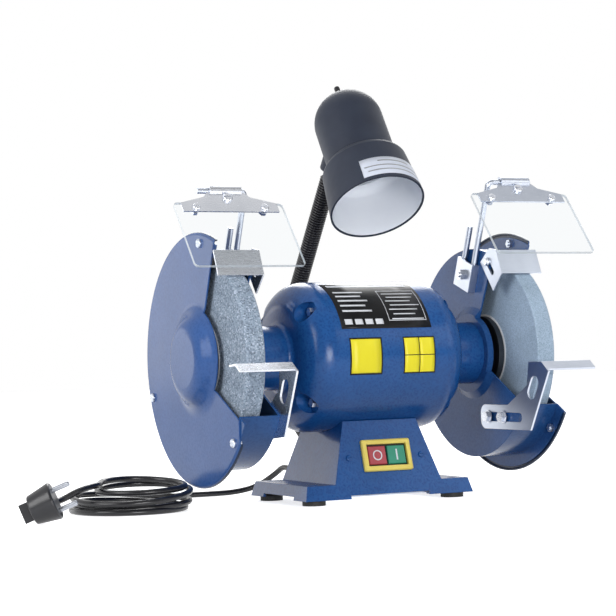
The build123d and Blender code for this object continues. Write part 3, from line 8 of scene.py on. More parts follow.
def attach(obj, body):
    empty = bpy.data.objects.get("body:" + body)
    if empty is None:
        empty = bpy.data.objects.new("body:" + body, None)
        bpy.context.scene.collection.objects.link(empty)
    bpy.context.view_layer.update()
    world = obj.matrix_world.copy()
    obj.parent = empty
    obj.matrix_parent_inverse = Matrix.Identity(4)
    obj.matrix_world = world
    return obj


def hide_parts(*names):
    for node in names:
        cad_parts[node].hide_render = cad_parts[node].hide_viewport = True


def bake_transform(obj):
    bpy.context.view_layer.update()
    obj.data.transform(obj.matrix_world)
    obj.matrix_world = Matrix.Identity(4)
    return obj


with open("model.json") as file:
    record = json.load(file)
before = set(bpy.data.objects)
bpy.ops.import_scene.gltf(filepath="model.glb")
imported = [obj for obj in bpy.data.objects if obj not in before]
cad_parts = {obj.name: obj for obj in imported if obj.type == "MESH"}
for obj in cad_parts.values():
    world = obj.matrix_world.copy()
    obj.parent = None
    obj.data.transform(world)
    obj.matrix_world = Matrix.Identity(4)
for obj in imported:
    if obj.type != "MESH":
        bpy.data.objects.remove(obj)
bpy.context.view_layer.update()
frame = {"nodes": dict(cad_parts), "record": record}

nodes = frame["nodes"]
scene = bpy.context.scene
print("frame loaded", len(nodes))

# Camera, fitted to the photograph
cameraSettings = {"place": (-0.970926, -1.782892, 0.153909), "azimuth": -27.177, "rise": -1.146,
                  "roll": -1.467, "lens": 116.68, "sensor": 36.0, "near": 0.05}


def makeCamera(s):
    a, e, roll = (math.radians(s[key]) for key in ("azimuth", "rise", "roll"))
    back = Vector((math.sin(a) * math.cos(e), -math.cos(a) * math.cos(e), math.sin(e)))
    right = (-back).cross(Vector((0, 0, 1))).normalized()
    top = right.cross(-back)
    turnedRight = right * math.cos(roll) + top * math.sin(roll)
    turnedTop = top * math.cos(roll) - right * math.sin(roll)
    data = bpy.data.cameras.new("photoCamera")
    data.lens = s["lens"]
    data.sensor_width = s["sensor"]
    data.clip_start = s["near"]
    camera = bpy.data.objects.new("photoCamera", data)
    scene.collection.objects.link(camera)
    rows = Matrix((turnedRight, turnedTop, back)).transposed().to_4x4()
    camera.matrix_world = Matrix.Translation(s["place"]) @ rows
    scene.camera = camera


makeCamera(cameraSettings)
scene.view_settings.view_transform = "Standard"
print("camera made")


# Shader helpers
def newMaterial(name):
    material = bpy.data.materials.new(name)
    material.use_nodes = True
    material.node_tree.nodes.clear()
    return material


def put(material, kind, values=None, **fields):
    node = material.node_tree.nodes.new(kind)
    for key, value in fields.items():
        setattr(node, key, value)
    for key, value in (values or {}).items():
        node.inputs[key].default_value = value
    return node


def wire(material, source, target):
    material.node_tree.links.new(source, target)


def ramp(material, source, stops):
    node = put(material, "ShaderNodeValToRGB")
    while len(node.color_ramp.elements) < len(stops):
        node.color_ramp.elements.new(0.5)
    for element, (place, colour) in zip(node.color_ramp.elements, stops):
        element.position = place
        element.color = (*colour, 1)
    wire(material, source, node.inputs["Fac"])
    return node.outputs["Color"]


def objectSpace(material, scale=(1, 1, 1)):
    place = put(material, "ShaderNodeTexCoord")
    mapping = put(material, "ShaderNodeMapping", {"Scale": scale})
    wire(material, place.outputs["Object"], mapping.inputs["Vector"])
    return mapping.outputs["Vector"]


def noise(material, space, scale, detail=3.0, rough=0.5):
    node = put(material, "ShaderNodeTexNoise", {"Scale": scale, "Detail": detail, "Roughness": rough})
    wire(material, space, node.inputs["Vector"])
    return node.outputs["Fac"]


def mixed(material, factor, first, second, blend="MIX"):
    node = put(material, "ShaderNodeMix", data_type="RGBA", blend_type=blend)
    for source, name in ((factor, "Factor"), (first, "A"), (second, "B")):
        slots = [i for i in node.inputs if i.name == name and i.enabled]
        if isinstance(source, (int, float)):
            slots[0].default_value = source
        elif isinstance(source, tuple):
            slots[0].default_value = (*source, 1)
        else:
            wire(material, source, slots[0])
    return [o for o in node.outputs if o.enabled][0]


def span(material, source, low, high):
    node = put(material, "ShaderNodeMapRange", {"To Min": low, "To Max": high})
    wire(material, source, node.inputs["Value"])
    return node.outputs["Result"]


def arithmetic(material, operation, first, second=None):
    node = put(material, "ShaderNodeMath", operation=operation)
    for slot, source in zip(node.inputs, (first, second)):
        if isinstance(source, (int, float)):
            slot.default_value = source
        elif source is not None:
            wire(material, source, slot)
    return node.outputs[0]


def chained(material, operation, sources):
    total = sources[0]
    for source in sources[1:]:
        total = arithmetic(material, operation, total, source)
    return total


def along(material, space, direction, offset):
    # distance of a place along a direction
    node = put(material, "ShaderNodeVectorMath", operation="DOT_PRODUCT")
    node.inputs[1].default_value = direction
    wire(material, space, node.inputs[0])
    return arithmetic(material, "SUBTRACT", node.outputs["Value"], offset)


def surface(material, colour, roughness, height, s):
    shader = put(material, "ShaderNodeBsdfPrincipled", {
        "Metallic": s.get("metal", 0.0), "Specular IOR Level": s.get("specular", 0.5)})
    wire(material, colour, shader.inputs["Base Color"])
    wire(material, roughness, shader.inputs["Roughness"])
    edge = put(material, "ShaderNodeBevel", {"Radius": s.get("edge", 0.0006)}, samples=4)
    bump = put(material, "ShaderNodeBump", {
        "Strength": s.get("bump", 0.3), "Distance": s.get("depth", 0.0004)})
    wire(material, height, bump.inputs["Height"])
    wire(material, edge.outputs["Normal"], bump.inputs["Normal"])
    wire(material, bump.outputs["Normal"], shader.inputs["Normal"])
    out = put(material, "ShaderNodeOutputMaterial")
    wire(material, shader.outputs["BSDF"], out.inputs["Surface"])


# Materials
paintGrain = {"cloud": 14.0, "gloss": 60.0, "drift": 150.0, "shift": 0.006}


def paintedShadeInGuard(material, space, s):
    # one on the faces that look into the wheel's room, where painted shade falls
    apart = put(material, "ShaderNodeSeparateXYZ")
    wire(material, space, apart.inputs[0])
    reach = arithmetic(material, "ABSOLUTE", apart.outputs["X"])
    rise = arithmetic(material, "SUBTRACT", apart.outputs["Z"], s["axis"])
    squares = [arithmetic(material, "MULTIPLY", v, v) for v in (apart.outputs["Y"], rise)]
    radius = arithmetic(material, "SQRT", arithmetic(material, "ADD", *squares))
    return chained(material, "MULTIPLY", [arithmetic(material, "GREATER_THAN", reach, s["from"]),
                                          arithmetic(material, "LESS_THAN", reach, s["to"]),
                                          arithmetic(material, "LESS_THAN", radius, s["radius"])])


def hammeredPaint(name, s):
    material = newMaterial(name)
    space = objectSpace(material)
    cells = put(material, "ShaderNodeTexVoronoi", {"Scale": s["cells"], "Smoothness": 1.0},
                feature="SMOOTH_F1")
    # cells pulled out of round, as the hammered finish runs
    drift = put(material, "ShaderNodeTexNoise", {"Scale": paintGrain["drift"], "Detail": 1.0})
    shift = put(material, "ShaderNodeVectorMath", {"Scale": paintGrain["shift"]}, operation="SCALE")
    warp = put(material, "ShaderNodeVectorMath", operation="ADD")
    wire(material, space, drift.inputs["Vector"])
    wire(material, drift.outputs["Color"], shift.inputs[0])
    wire(material, space, warp.inputs[0])
    wire(material, shift.outputs[0], warp.inputs[1])
    wire(material, warp.outputs[0], cells.inputs["Vector"])
    cloud = noise(material, space, paintGrain["cloud"])
    large = ramp(material, cloud, ((0.35, s["dark"]), (0.7, s["light"])))
    fleck = ramp(material, cells.outputs["Distance"], ((0.08, s["fleck"]), (0.55, s["spark"])))
    colour = mixed(material, 1.0, large, fleck, "MULTIPLY")
    # painted shade: faces inside the guards and covers turn to the shadow colour
    if "inside" in s:
        colour = mixed(material, paintedShadeInGuard(material, space, s["inside"]), colour, s["shadow"])
    roughness = span(material, noise(material, space, paintGrain["gloss"]), s["smooth"], s["rough"])
    surface(material, colour, roughness, cells.outputs["Distance"], s)
    return material


metalGrain = {"streak": 90.0, "blotch": 30.0, "stretch": (1, 12, 12)}


def platedMetal(name, s):
    material = newMaterial(name)
    stretched = objectSpace(material, s.get("stretch", metalGrain["stretch"]))
    streaks = noise(material, stretched, metalGrain["streak"], 4.0, 0.6)
    blotch = noise(material, objectSpace(material), metalGrain["blotch"], 4.0)
    patches = ramp(material, blotch, ((0.3, s["dark"]), (0.7, s["light"])))
    colour = mixed(material, streaks, patches, s["light"])
    roughness = span(material, streaks, s["smooth"], s["rough"])
    surface(material, colour, roughness, streaks, {"metal": 1.0, **s})
    return material


stoneGrain = {"cloud": 22.0, "dim": (0.82, 0.82, 0.82), "full": (1.0, 1.0, 1.0), "smooth": 0.7, "rough": 0.95}


def abrasive(name, s):
    material = newMaterial(name)
    space = objectSpace(material)
    grain = put(material, "ShaderNodeTexVoronoi", {"Scale": s["grain"]})
    wire(material, space, grain.inputs["Vector"])
    tone = put(material, "ShaderNodeSeparateColor")
    wire(material, grain.outputs["Color"], tone.inputs["Color"])
    speckle = ramp(material, tone.outputs["Red"], s["stops"])
    patches = noise(material, space, stoneGrain["cloud"])
    cloud = ramp(material, patches, ((0.3, stoneGrain["dim"]), (0.7, stoneGrain["full"])))
    colour = mixed(material, 1.0, speckle, cloud, "MULTIPLY")
    roughness = span(material, tone.outputs["Green"], stoneGrain["smooth"], stoneGrain["rough"])
    surface(material, colour, roughness, tone.outputs["Blue"], s)
    return material


plasticGrain = {"cloud": 40.0, "gloss": 110.0, "skin": 900.0}


def mouldedPlastic(name, s):
    material = newMaterial(name)
    space = objectSpace(material)
    cloud = noise(material, space, plasticGrain["cloud"])
    colour = ramp(material, cloud, ((0.3, s["dark"]), (0.75, s["light"])))
    roughness = span(material, noise(material, space, plasticGrain["gloss"]), s["smooth"], s["rough"])
    surface(material, colour, roughness, noise(material, space, plasticGrain["skin"], 2.0), s)
    return material


shieldLean = math.radians(38.5)
clearSettings = {"tint": (0.975, 0.985, 0.99, 1), "index": 1.42, "cloud": 35.0, "smooth": 0.02, "rough": 0.09,
                 "normal": (0.0, math.cos(shieldLean), -math.sin(shieldLean)), "facing": 0.6,
                 "rim": (0.72, 0.78, 0.82, 1), "rimRough": 0.25, "rimCover": 0.75}


def clearSheet(name, s):
    material = newMaterial(name)
    space = objectSpace(material)
    through = put(material, "ShaderNodeBsdfTransparent", {"Color": s["tint"]})
    shine = put(material, "ShaderNodeBsdfGlossy", {"Color": (1, 1, 1, 1)})
    roughness = span(material, noise(material, space, s["cloud"]), s["smooth"], s["rough"])
    wire(material, roughness, shine.inputs["Roughness"])
    # the sheet shines on its outer faces only
    fresnel = put(material, "ShaderNodeFresnel", {"IOR": s["index"]})
    geometry = put(material, "ShaderNodeNewGeometry")
    front = arithmetic(material, "SUBTRACT", 1.0, geometry.outputs["Backfacing"])
    sheet = put(material, "ShaderNodeMixShader")
    wire(material, arithmetic(material, "MULTIPLY", fresnel.outputs["Fac"], front), sheet.inputs["Fac"])
    wire(material, through.outputs["BSDF"], sheet.inputs[1])
    wire(material, shine.outputs["BSDF"], sheet.inputs[2])
    # its cut edges are pale
    own = put(material, "ShaderNodeVectorTransform", vector_type="NORMAL", convert_from="WORLD",
              convert_to="OBJECT")
    wire(material, geometry.outputs["True Normal"], own.inputs["Vector"])
    facing = arithmetic(material, "ABSOLUTE", along(material, own.outputs["Vector"], s["normal"], 0.0))
    rim = arithmetic(material, "LESS_THAN", facing, s["facing"])
    edge = put(material, "ShaderNodeBsdfPrincipled", {
        "Base Color": s["rim"], "Roughness": s["rimRough"], "Alpha": s["rimCover"]})
    whole = put(material, "ShaderNodeMixShader")
    wire(material, rim, whole.inputs["Fac"])
    wire(material, sheet.outputs["Shader"], whole.inputs[1])
    wire(material, edge.outputs["BSDF"], whole.inputs[2])
    out = put(material, "ShaderNodeOutputMaterial")
    wire(material, whole.outputs["Shader"], out.inputs["Surface"])
    return material


def shadePaint(name, s):
    # dark outside, white on the inside of the wall's middle line
    material = newMaterial(name)
    space = objectSpace(material)
    mouth = Vector(s["mouth"])
    height, across, wide = (along(material, space, s[key], Vector(s[key]).dot(mouth))
                            for key in ("axis", "side", "wide"))
    pair = put(material, "ShaderNodeCombineXYZ")
    wire(material, across, pair.inputs["X"])
    wire(material, wide, pair.inputs["Y"])
    radius = put(material, "ShaderNodeVectorMath", operation="LENGTH")
    wire(material, pair.outputs[0], radius.inputs[0])
    walls = []
    for start, end, low, high in ((0.0, s["collar"], s["mouthWall"], s["shoulderWall"]),
                                  (s["collar"], s["shoulder"], 0.0, s["bodyWall"] - s["shoulderWall"])):
        wall = put(material, "ShaderNodeMapRange", {
            "From Min": start, "From Max": end, "To Min": low, "To Max": high})
        wire(material, height, wall.inputs["Value"])
        walls.append(wall.outputs["Result"])
    middle = arithmetic(material, "ADD", *walls)
    white = chained(material, "MULTIPLY", [arithmetic(material, "LESS_THAN", radius.outputs["Value"], middle),
                                           arithmetic(material, "GREATER_THAN", height, s["rim"]),
                                           arithmetic(material, "LESS_THAN", height, s["whiteEnd"])])
    cloud = noise(material, space, s["cloud"])
    outer = ramp(material, cloud, ((0.3, s["dark"]), (0.7, s["light"])))
    inner = ramp(material, cloud, ((0.3, s["pale"]), (0.7, s["white"])))
    colour = mixed(material, white, outer, inner)
    roughness = span(material, noise(material, space, s["gloss"]), s["smooth"], s["rough"])
    surface(material, colour, roughness, noise(material, space, s["skin"], 2.0), s)
    return material


axisHeight = 0.1445
paints = {
    "blue": {"dark": (0.009, 0.072, 0.255), "light": (0.015, 0.094, 0.315), "fleck": (0.68, 0.74, 0.82),
             "spark": (1.12, 1.09, 1.06), "cells": 420.0, "smooth": 0.17, "rough": 0.25,
             "bump": 0.16, "depth": 0.0004, "specular": 0.3},
    # the cover and guard paints carry a painted shade on the faces inside the wheel's room
    "cover": {"dark": (0.035, 0.098, 0.29), "light": (0.045, 0.116, 0.34), "fleck": (0.8, 0.83, 0.87),
              "spark": (1.08, 1.07, 1.05), "cells": 420.0, "smooth": 0.17, "rough": 0.24,
              "bump": 0.1, "depth": 0.0003, "specular": 0.2, "shadow": (0.012, 0.03, 0.075),
              "inside": {"axis": axisHeight, "from": 0.0, "to": 0.1786, "radius": 1.0}},
    "guard": {"dark": (0.016, 0.075, 0.24), "light": (0.024, 0.095, 0.29), "fleck": (0.74, 0.79, 0.85),
              "spark": (1.1, 1.08, 1.05), "cells": 420.0, "smooth": 0.17, "rough": 0.25,
              "bump": 0.14, "depth": 0.0004, "specular": 0.22, "shadow": (0.012, 0.036, 0.09),
              "inside": {"axis": axisHeight, "from": 0.1378, "to": 1.0, "radius": 0.1073}},
}
metals = {
    "zinc": {"dark": (0.42, 0.46, 0.54), "light": (0.62, 0.66, 0.74), "smooth": 0.24, "rough": 0.4,
             "bump": 0.12, "depth": 0.0001},
    # brighter zinc: for the screws and bolts, and as a painted highlight on the lit left side's zinc pieces
    "bright": {"dark": (0.6, 0.63, 0.69), "light": (0.78, 0.8, 0.85), "smooth": 0.2, "rough": 0.36,
               "bump": 0.12, "depth": 0.0001},
    "steel": {"dark": (0.28, 0.3, 0.34), "light": (0.42, 0.44, 0.48), "smooth": 0.24, "rough": 0.42,
              "bump": 0.12, "depth": 0.0001},
    "darkSteel": {"dark": (0.05, 0.055, 0.065), "light": (0.1, 0.11, 0.125), "smooth": 0.35, "rough": 0.5,
                  "bump": 0.15, "depth": 0.0001},
    "lamination": {"dark": (0.2, 0.2, 0.21), "light": (0.32, 0.32, 0.33), "smooth": 0.4, "rough": 0.6,
                   "bump": 0.4, "depth": 0.0004, "stretch": (30, 1, 1)},
    "copper": {"dark": (0.45, 0.18, 0.08), "light": (0.65, 0.28, 0.13), "smooth": 0.3, "rough": 0.45,
               "bump": 0.5, "depth": 0.0006, "stretch": (20, 2, 2)},
}
stones = {
    "coarse": {"grain": 760.0, "bump": 0.7, "depth": 0.0004, "edge": 0.0012,
               "stops": ((0.0, (0.14, 0.18, 0.235)), (0.3, (0.28, 0.355, 0.455)), (0.8, (0.38, 0.465, 0.58)),
                         (1.0, (0.62, 0.7, 0.82)))},
    "fine": {"grain": 1300.0, "bump": 0.4, "depth": 0.0002, "edge": 0.0012,
             "stops": ((0.0, (0.28, 0.37, 0.48)), (0.4, (0.37, 0.485, 0.61)), (0.9, (0.43, 0.55, 0.69)),
                       (1.0, (0.5, 0.62, 0.76)))},
}
printEdge = 0.00002
plastics = {
    "black": {"dark": (0.009, 0.009, 0.012), "light": (0.016, 0.017, 0.021), "smooth": 0.24, "rough": 0.36,
              "bump": 0.1},
    "hose": {"dark": (0.008, 0.008, 0.011), "light": (0.016, 0.016, 0.02), "smooth": 0.18, "rough": 0.28,
             "bump": 0.05, "edge": 0.00005},
    "rubber": {"dark": (0.012, 0.012, 0.012), "light": (0.022, 0.022, 0.022), "smooth": 0.55, "rough": 0.75,
               "bump": 0.3},
    "cord": {"dark": (0.006, 0.006, 0.008), "light": (0.012, 0.012, 0.015), "smooth": 0.2, "rough": 0.3,
             "bump": 0.1},
    "yellow": {"dark": (0.8, 0.63, 0.11), "light": (0.92, 0.75, 0.16), "smooth": 0.28, "rough": 0.4,
               "bump": 0.1},
    "sticker": {"dark": (0.84, 0.73, 0.008), "light": (0.9, 0.79, 0.012), "smooth": 0.3, "rough": 0.45,
                "bump": 0.05, "edge": printEdge},
    "red": {"dark": (0.4, 0.045, 0.06), "light": (0.5, 0.065, 0.085), "smooth": 0.25, "rough": 0.38,
            "bump": 0.1},
    "green": {"dark": (0.016, 0.25, 0.15), "light": (0.026, 0.32, 0.2), "smooth": 0.25, "rough": 0.38,
              "bump": 0.1},
    "grey": {"dark": (0.3, 0.31, 0.32), "light": (0.4, 0.41, 0.42), "smooth": 0.4, "rough": 0.55,
             "bump": 0.15},
    "pale": {"dark": (0.6, 0.59, 0.55), "light": (0.72, 0.71, 0.67), "smooth": 0.4, "rough": 0.55,
             "bump": 0.15},
    "card": {"dark": (0.7, 0.71, 0.73), "light": (0.8, 0.81, 0.83), "smooth": 0.7, "rough": 0.9,
             "bump": 0.3},
    "white": {"dark": (0.68, 0.7, 0.74), "light": (0.8, 0.82, 0.86), "smooth": 0.35, "rough": 0.5,
              "bump": 0.05, "edge": printEdge},
    "label": {"dark": (0.62, 0.66, 0.76), "light": (0.7, 0.74, 0.84), "smooth": 0.35, "rough": 0.5,
              "bump": 0.05, "edge": printEdge},
    "ink": {"dark": (0.006, 0.006, 0.007), "light": (0.01, 0.01, 0.011), "smooth": 0.25, "rough": 0.4,
            "bump": 0.05, "edge": printEdge, "specular": 0.2},
}
lampTilt = math.radians(35.0)
lampLean = math.radians(2.8)
lamp = {"mouth": (0.0, -0.049, 0.2925), "collar": 0.0487, "shoulder": 0.0567, "mouthWall": 0.0475,
        "shoulderWall": 0.043, "bodyWall": 0.0345, "rim": 0.001, "whiteEnd": 0.1,
        "mouthRadius": 0.0485, "collarRadius": 0.044,
        "axis": (math.cos(lampTilt) * math.sin(lampLean), math.sin(lampTilt),
                 math.cos(lampTilt) * math.cos(lampLean)),
        "side": (-math.sin(lampTilt) * math.sin(lampLean), math.cos(lampTilt),
                 -math.sin(lampTilt) * math.cos(lampLean)),
        "wide": (math.cos(lampLean), 0.0, -math.sin(lampLean)),
        "dark": (0.018, 0.024, 0.043), "light": (0.025, 0.033, 0.055),
        "pale": (0.88, 0.91, 0.97), "white": (0.92, 0.95, 1.0), "cloud": 35.0, "gloss": 120.0, "skin": 700.0,
        "smooth": 0.42, "rough": 0.56, "specular": 0.35, "bump": 0.15, "depth": 0.0002}

looks = {name + "Paint": hammeredPaint(name + "Paint", s) for name, s in paints.items()}
looks.update({name: platedMetal(name, s) for name, s in metals.items()})
looks.update({name + "Stone": abrasive(name + "Stone", s) for name, s in stones.items()})
looks.update({name: mouldedPlastic(name, s) for name, s in plastics.items()})
looks["clear"] = clearSheet("clear", clearSettings)
looks["shade"] = shadePaint("shade", lamp)
slotLooks = {
    "blue_paint": "bluePaint", "cover_paint": "coverPaint", "bottom_zinc": "zinc", "zinc": "zinc",
    "steel": "steel", "bearing_steel": "steel", "laminations": "lamination", "copper": "copper",
    "coarse_abrasive": "coarseStone", "fine_abrasive": "fineStone", "blotter_paper": "card",
    "bush_plastic": "pale", "rubber": "rubber", "black_plastic": "black", "yellow_plastic": "yellow",
    "red_plastic": "red", "green_plastic": "green", "grey_plastic": "grey", "shade_paint": "shade",
    "hose_black": "hose", "clear_acrylic": "clear", "cord_pvc": "cord",
}
# pieces whose finish differs from their slot's; the left side's zinc pieces take the brighter zinc as a
# painted highlight
nodeLooks = {
    "left_inner_guard": "guardPaint", "right_inner_guard": "guardPaint", "base_screws": "bluePaint",
    "wheel_flanges": "darkSteel", "spindle_nuts": "darkSteel", "guard_bolts": "bright",
    # painted highlight: the left tool rest, shield bracket and spark plate are lit brighter than their right
    # twins
    "left_shield_screws": "bright", "right_shield_screws": "bright", "left_tool_rest": "bright",
    "left_shield_bracket": "bright", "left_spark_plate": "bright",
}
for piece in frame["record"]["subparts"]:
    mesh = nodes[piece["node"]].data
    mesh.materials.clear()
    mesh.materials.append(looks[nodeLooks.get(piece["node"], slotLooks[piece["material_slot"]])])
print("materials made", len(looks))


# Mesh helpers
def makeMesh(name, points, faces, look, body=None, smooth=True):
    mesh = bpy.data.meshes.new(name)
    mesh.from_pydata(points, [], faces)
    mesh.validate()
    mesh.materials.append(looks[look])
    for polygon in mesh.polygons:
        polygon.use_smooth = smooth
    piece = bpy.data.objects.new(name, mesh)
    scene.collection.objects.link(piece)
    if body:
        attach(piece, body)
    return piece


def gridFaces(rows, columns, closed=False):
    faces = []
    for row in range(rows - 1):
        for column in range(columns if closed else columns - 1):
            after = (column + 1) % columns
            faces.append((row * columns + column, row * columns + after, (row + 1) * columns + after,
                          (row + 1) * columns + column))
    return faces


def slab(name, outer, inner, look, body, smooth=True):
    # thin closed piece between two grids of points of the same size
    rows, columns = len(outer), len(outer[0])
    count = rows * columns
    points = [p for row in outer for p in row] + [p for row in inner for p in row]
    faces = gridFaces(rows, columns)
    faces += [tuple(count + i for i in reversed(face)) for face in gridFaces(rows, columns)]
    ring = list(range(columns)) + [r * columns + columns - 1 for r in range(1, rows)]
    ring += [(rows - 1) * columns + c for c in range(columns - 2, -1, -1)]
    ring += [r * columns for r in range(rows - 2, 0, -1)]
    for here, after in zip(ring, ring[1:] + ring[:1]):
        faces.append((after, here, count + here, count + after))
    piece = makeMesh(name, points, faces, look, body, smooth)
    edit = bmesh.new()
    edit.from_mesh(piece.data)
    bmesh.ops.recalc_face_normals(edit, faces=edit.faces)
    edit.to_mesh(piece.data)
    edit.free()
    # flat sides, so that the face keeps an even tone up to its edge
    for polygon in piece.data.polygons[2 * (rows - 1) * (columns - 1):]:
        polygon.use_smooth = False


# Cord: the route's points, the coil's half turns and the tail in one line
cordSettings = {
    "radius": 0.003, "height": 0.0032, "glandEnd": (-0.036, 0.080995, 0.026385), "firstRun": 0.020,
    "heading": (0.0, 0.963958, 0.266052), "lastRun": 0.036, "straight": 0.006,
    "lead": ((-0.0395, 0.117, 0.0215), (-0.053, 0.132, 0.0085), (-0.077, 0.136, 0.0036),
             (-0.105, 0.134, 0.0034), (-0.136, 0.1385, 0.0033), (-0.170, 0.138, 0.0033),
             (-0.206, 0.131, 0.0033), (-0.2415, 0.114, 0.0033)),
    "centre": (-0.2425, 0.020), "turn": 27.2, "pitch": 0.0065, "steps": 6,
    "ends": ((-0.0575, 0.0), (0.052, 0.0), (-0.0535, 1.0), (0.056, 1.0), (-0.0565, 2.0), (0.057, 2.5),
             (-0.033, 2.8), (0.0517, 3.1), (-0.0295, 3.85)),
    "sway": ((0.0, 0.0), (0.002, 0.0), (0.007, -0.0038), (-0.003, 0.0), (0.001, -0.0068), (0.004, 0.003),
             (0.003, -0.002), (0.0, 0.003)),
    "tailFirstRun": 0.020, "tail": ((-0.044, -0.049, 0.0255), (-0.062, -0.064, 0.016)), "tailLastRun": 0.013,
    "plug": (-0.0685, -0.123), "outlet": 0.027, "plugTilt": 22.0, "plugRear": 0.0135, "plugLength": 0.024,
    "plugClear": 0.0003, "roundness": 5, "smoothness": 8, "order": 3,
}


def cordRoute(s):
    turn = math.radians(s["turn"])
    u = Vector((math.cos(turn), -math.sin(turn), 0))
    w = Vector((math.sin(turn), math.cos(turn), 0))
    centre = Vector((*s["centre"], s["height"]))
    ends = [centre + u * across + Vector((0, 0, s["pitch"] * layer)) for across, layer in s["ends"]]
    start = Vector(s["glandEnd"])
    finish = ends[0] + w * s["straight"]
    route = [start, start + Vector(s["heading"]) * s["firstRun"]]
    route += [Vector(p) for p in s["lead"]] + [finish + w * s["lastRun"], finish]
    forward = -w
    half = math.pi / s["steps"] / 2
    for first, second, (shift, lift) in zip(ends, ends[1:], s["sway"]):
        middle = (first + second) / 2
        reach = (second - first).length / 2
        for step in range(s["steps"]):
            angle = half * (2 * step + 1)
            place = (first - middle) * math.cos(angle) + forward * reach * math.sin(angle)
            loose = w * shift + Vector((0, 0, lift))
            route.append(middle + place / math.cos(half) + loose * math.sin(angle))
        forward = -forward
    last = ends[-1] + forward * s["straight"]
    route += [last, last + forward * s["tailFirstRun"]]
    for across, back, height in s["tail"]:
        place = centre + u * across + w * back
        route.append(Vector((place.x, place.y, height)))
    tilt = math.radians(s["plugTilt"])
    lift = s["plugRear"] * math.cos(tilt) + s["plugLength"] / 2 * math.sin(tilt) + s["plugClear"]
    plug = centre + u * s["plug"][0] + w * s["plug"][1]
    outlet = Vector((plug.x, plug.y, lift)) + w * s["outlet"]
    route += [outlet + w * s["tailLastRun"], outlet]
    return route


def makeCord(s):
    route = cordRoute(s)
    data = bpy.data.curves.new("mainsCord", "CURVE")
    data.dimensions = "3D"
    data.bevel_depth = s["radius"]
    data.bevel_resolution = s["roundness"]
    data.resolution_u = s["smoothness"]
    data.use_fill_caps = True
    spline = data.splines.new("NURBS")
    spline.points.add(len(route) - 1)
    for point, place in zip(spline.points, route):
        point.co = (*place, 1)
    spline.order_u = s["order"]
    spline.use_endpoint_u = True
    data.materials.append(looks["cord"])
    piece = bpy.data.objects.new("mainsCord", data)
    scene.collection.objects.link(piece)
    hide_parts("cord_lead", "cord_coil", "cord_tail")
    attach(piece, "frame")


makeCord(cordSettings)

# Gooseneck
hoseSettings = {
    "start": (0.070, 0.048), "bend": 0.094, "turn": 125.0, "radius": 0.009, "groove": 0.0021,
    "pitch": 0.0029, "sides": 24, "joint": (0.0, 0.135529, 0.212299), "jointPast": 0.020,
    "blendBefore": 0.045, "blendAfter": 0.06, "ball": (0.0, 0.045458, 0.340933), "ballRadius": 0.0085,
    "ballSteps": 14, "stem": 0.012, "stemRadius": 0.005,
    # one rib and its groove: share of the pitch, share of the groove's depth
    "profile": ((0.0, 1.0), (0.1, 0.45), (0.26, 0.06), (0.42, 0.0), (0.58, 0.06), (0.74, 0.45), (0.86, 1.0)),
    # collar on the stem: height from the stem's foot, height proud of the stem
    "collar": ((-0.001, 0.0015), (0.002, 0.0015), (0.003, 0.0)),
}


def ringPoints(centre, direction, radius, sides):
    across = Vector((1, 0, 0))
    side = across.cross(direction)
    turns = [2 * math.pi * number / sides for number in range(sides)]
    return [centre + across * radius * math.cos(a) + side * radius * math.sin(a) for a in turns]


def hosePlace(s, distance):
    bendLength = s["bend"] * math.radians(s["turn"])
    turn = min(distance, bendLength) / s["bend"]
    direction = Vector((0, math.cos(turn), math.sin(turn)))
    y = s["start"][0] + s["bend"] * math.sin(turn)
    z = s["start"][1] + s["bend"] * (1 - math.cos(turn))
    return Vector((0, y, z)) + direction * max(0.0, distance - bendLength), direction


def makeHose(s):
    bendLength = s["bend"] * math.radians(s["turn"])
    bendEnd, direction = hosePlace(s, bendLength)
    length = bendLength + (Vector(s["ball"]) - bendEnd).length - s["stem"]
    ribs = int(length / s["pitch"])
    pitch = length / ribs
    points = []
    for rib in range(ribs):
        for part, depth in s["profile"]:
            centre, heading = hosePlace(s, (rib + part) * pitch)
            points += ringPoints(centre, heading, s["radius"] - s["groove"] * depth, s["sides"])
    rows = ribs * len(s["profile"])
    faces = gridFaces(rows, s["sides"], True)
    faces.append(tuple(range(s["sides"])))
    faces.append(tuple(range((rows - 1) * s["sides"], rows * s["sides"])))
    hose = makeMesh("lampHose", points, faces, "hose")
    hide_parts("lamp_neck_lower", "lamp_neck_upper")
    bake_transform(hose)
    return direction


def makeBall(s, direction):
    # stem and ball at the top of the gooseneck, turned from one outline
    ball = Vector(s["ball"])
    outline = [(s["collar"][0][0] - s["stem"], 0.0)]
    outline += [(height - s["stem"], s["stemRadius"] + proud) for height, proud in s["collar"]]
    sweep = math.pi - math.asin(s["stemRadius"] / s["ballRadius"])
    for step in range(s["ballSteps"] + 1):
        angle = sweep * (1 - step / s["ballSteps"])
        outline.append((s["ballRadius"] * math.cos(angle), s["ballRadius"] * math.sin(angle)))
    points = []
    for height, radius in outline:
        points += ringPoints(ball + direction * height, direction, radius, s["sides"])
    faces = gridFaces(len(outline), s["sides"], True)
    makeMesh("lampBall", points, faces, "darkSteel", "lamp_neck")


makeBall(hoseSettings, makeHose(hoseSettings))
print("gooseneck made")

# Blank labels on the motor shell and the lamp
shellSettings = {"radius": 0.075, "height": axisHeight, "rows": 24, "columns": 4, "lift": 0.0001,
                 "thick": 0.00012}


def shellPoint(s, x, degrees, lift):
    angle = math.radians(degrees)
    radius = s["radius"] + lift
    return Vector((x, -radius * math.cos(angle), s["height"] + radius * math.sin(angle)))


def between(pair, share):
    return pair[0] + (pair[1] - pair[0]) * share


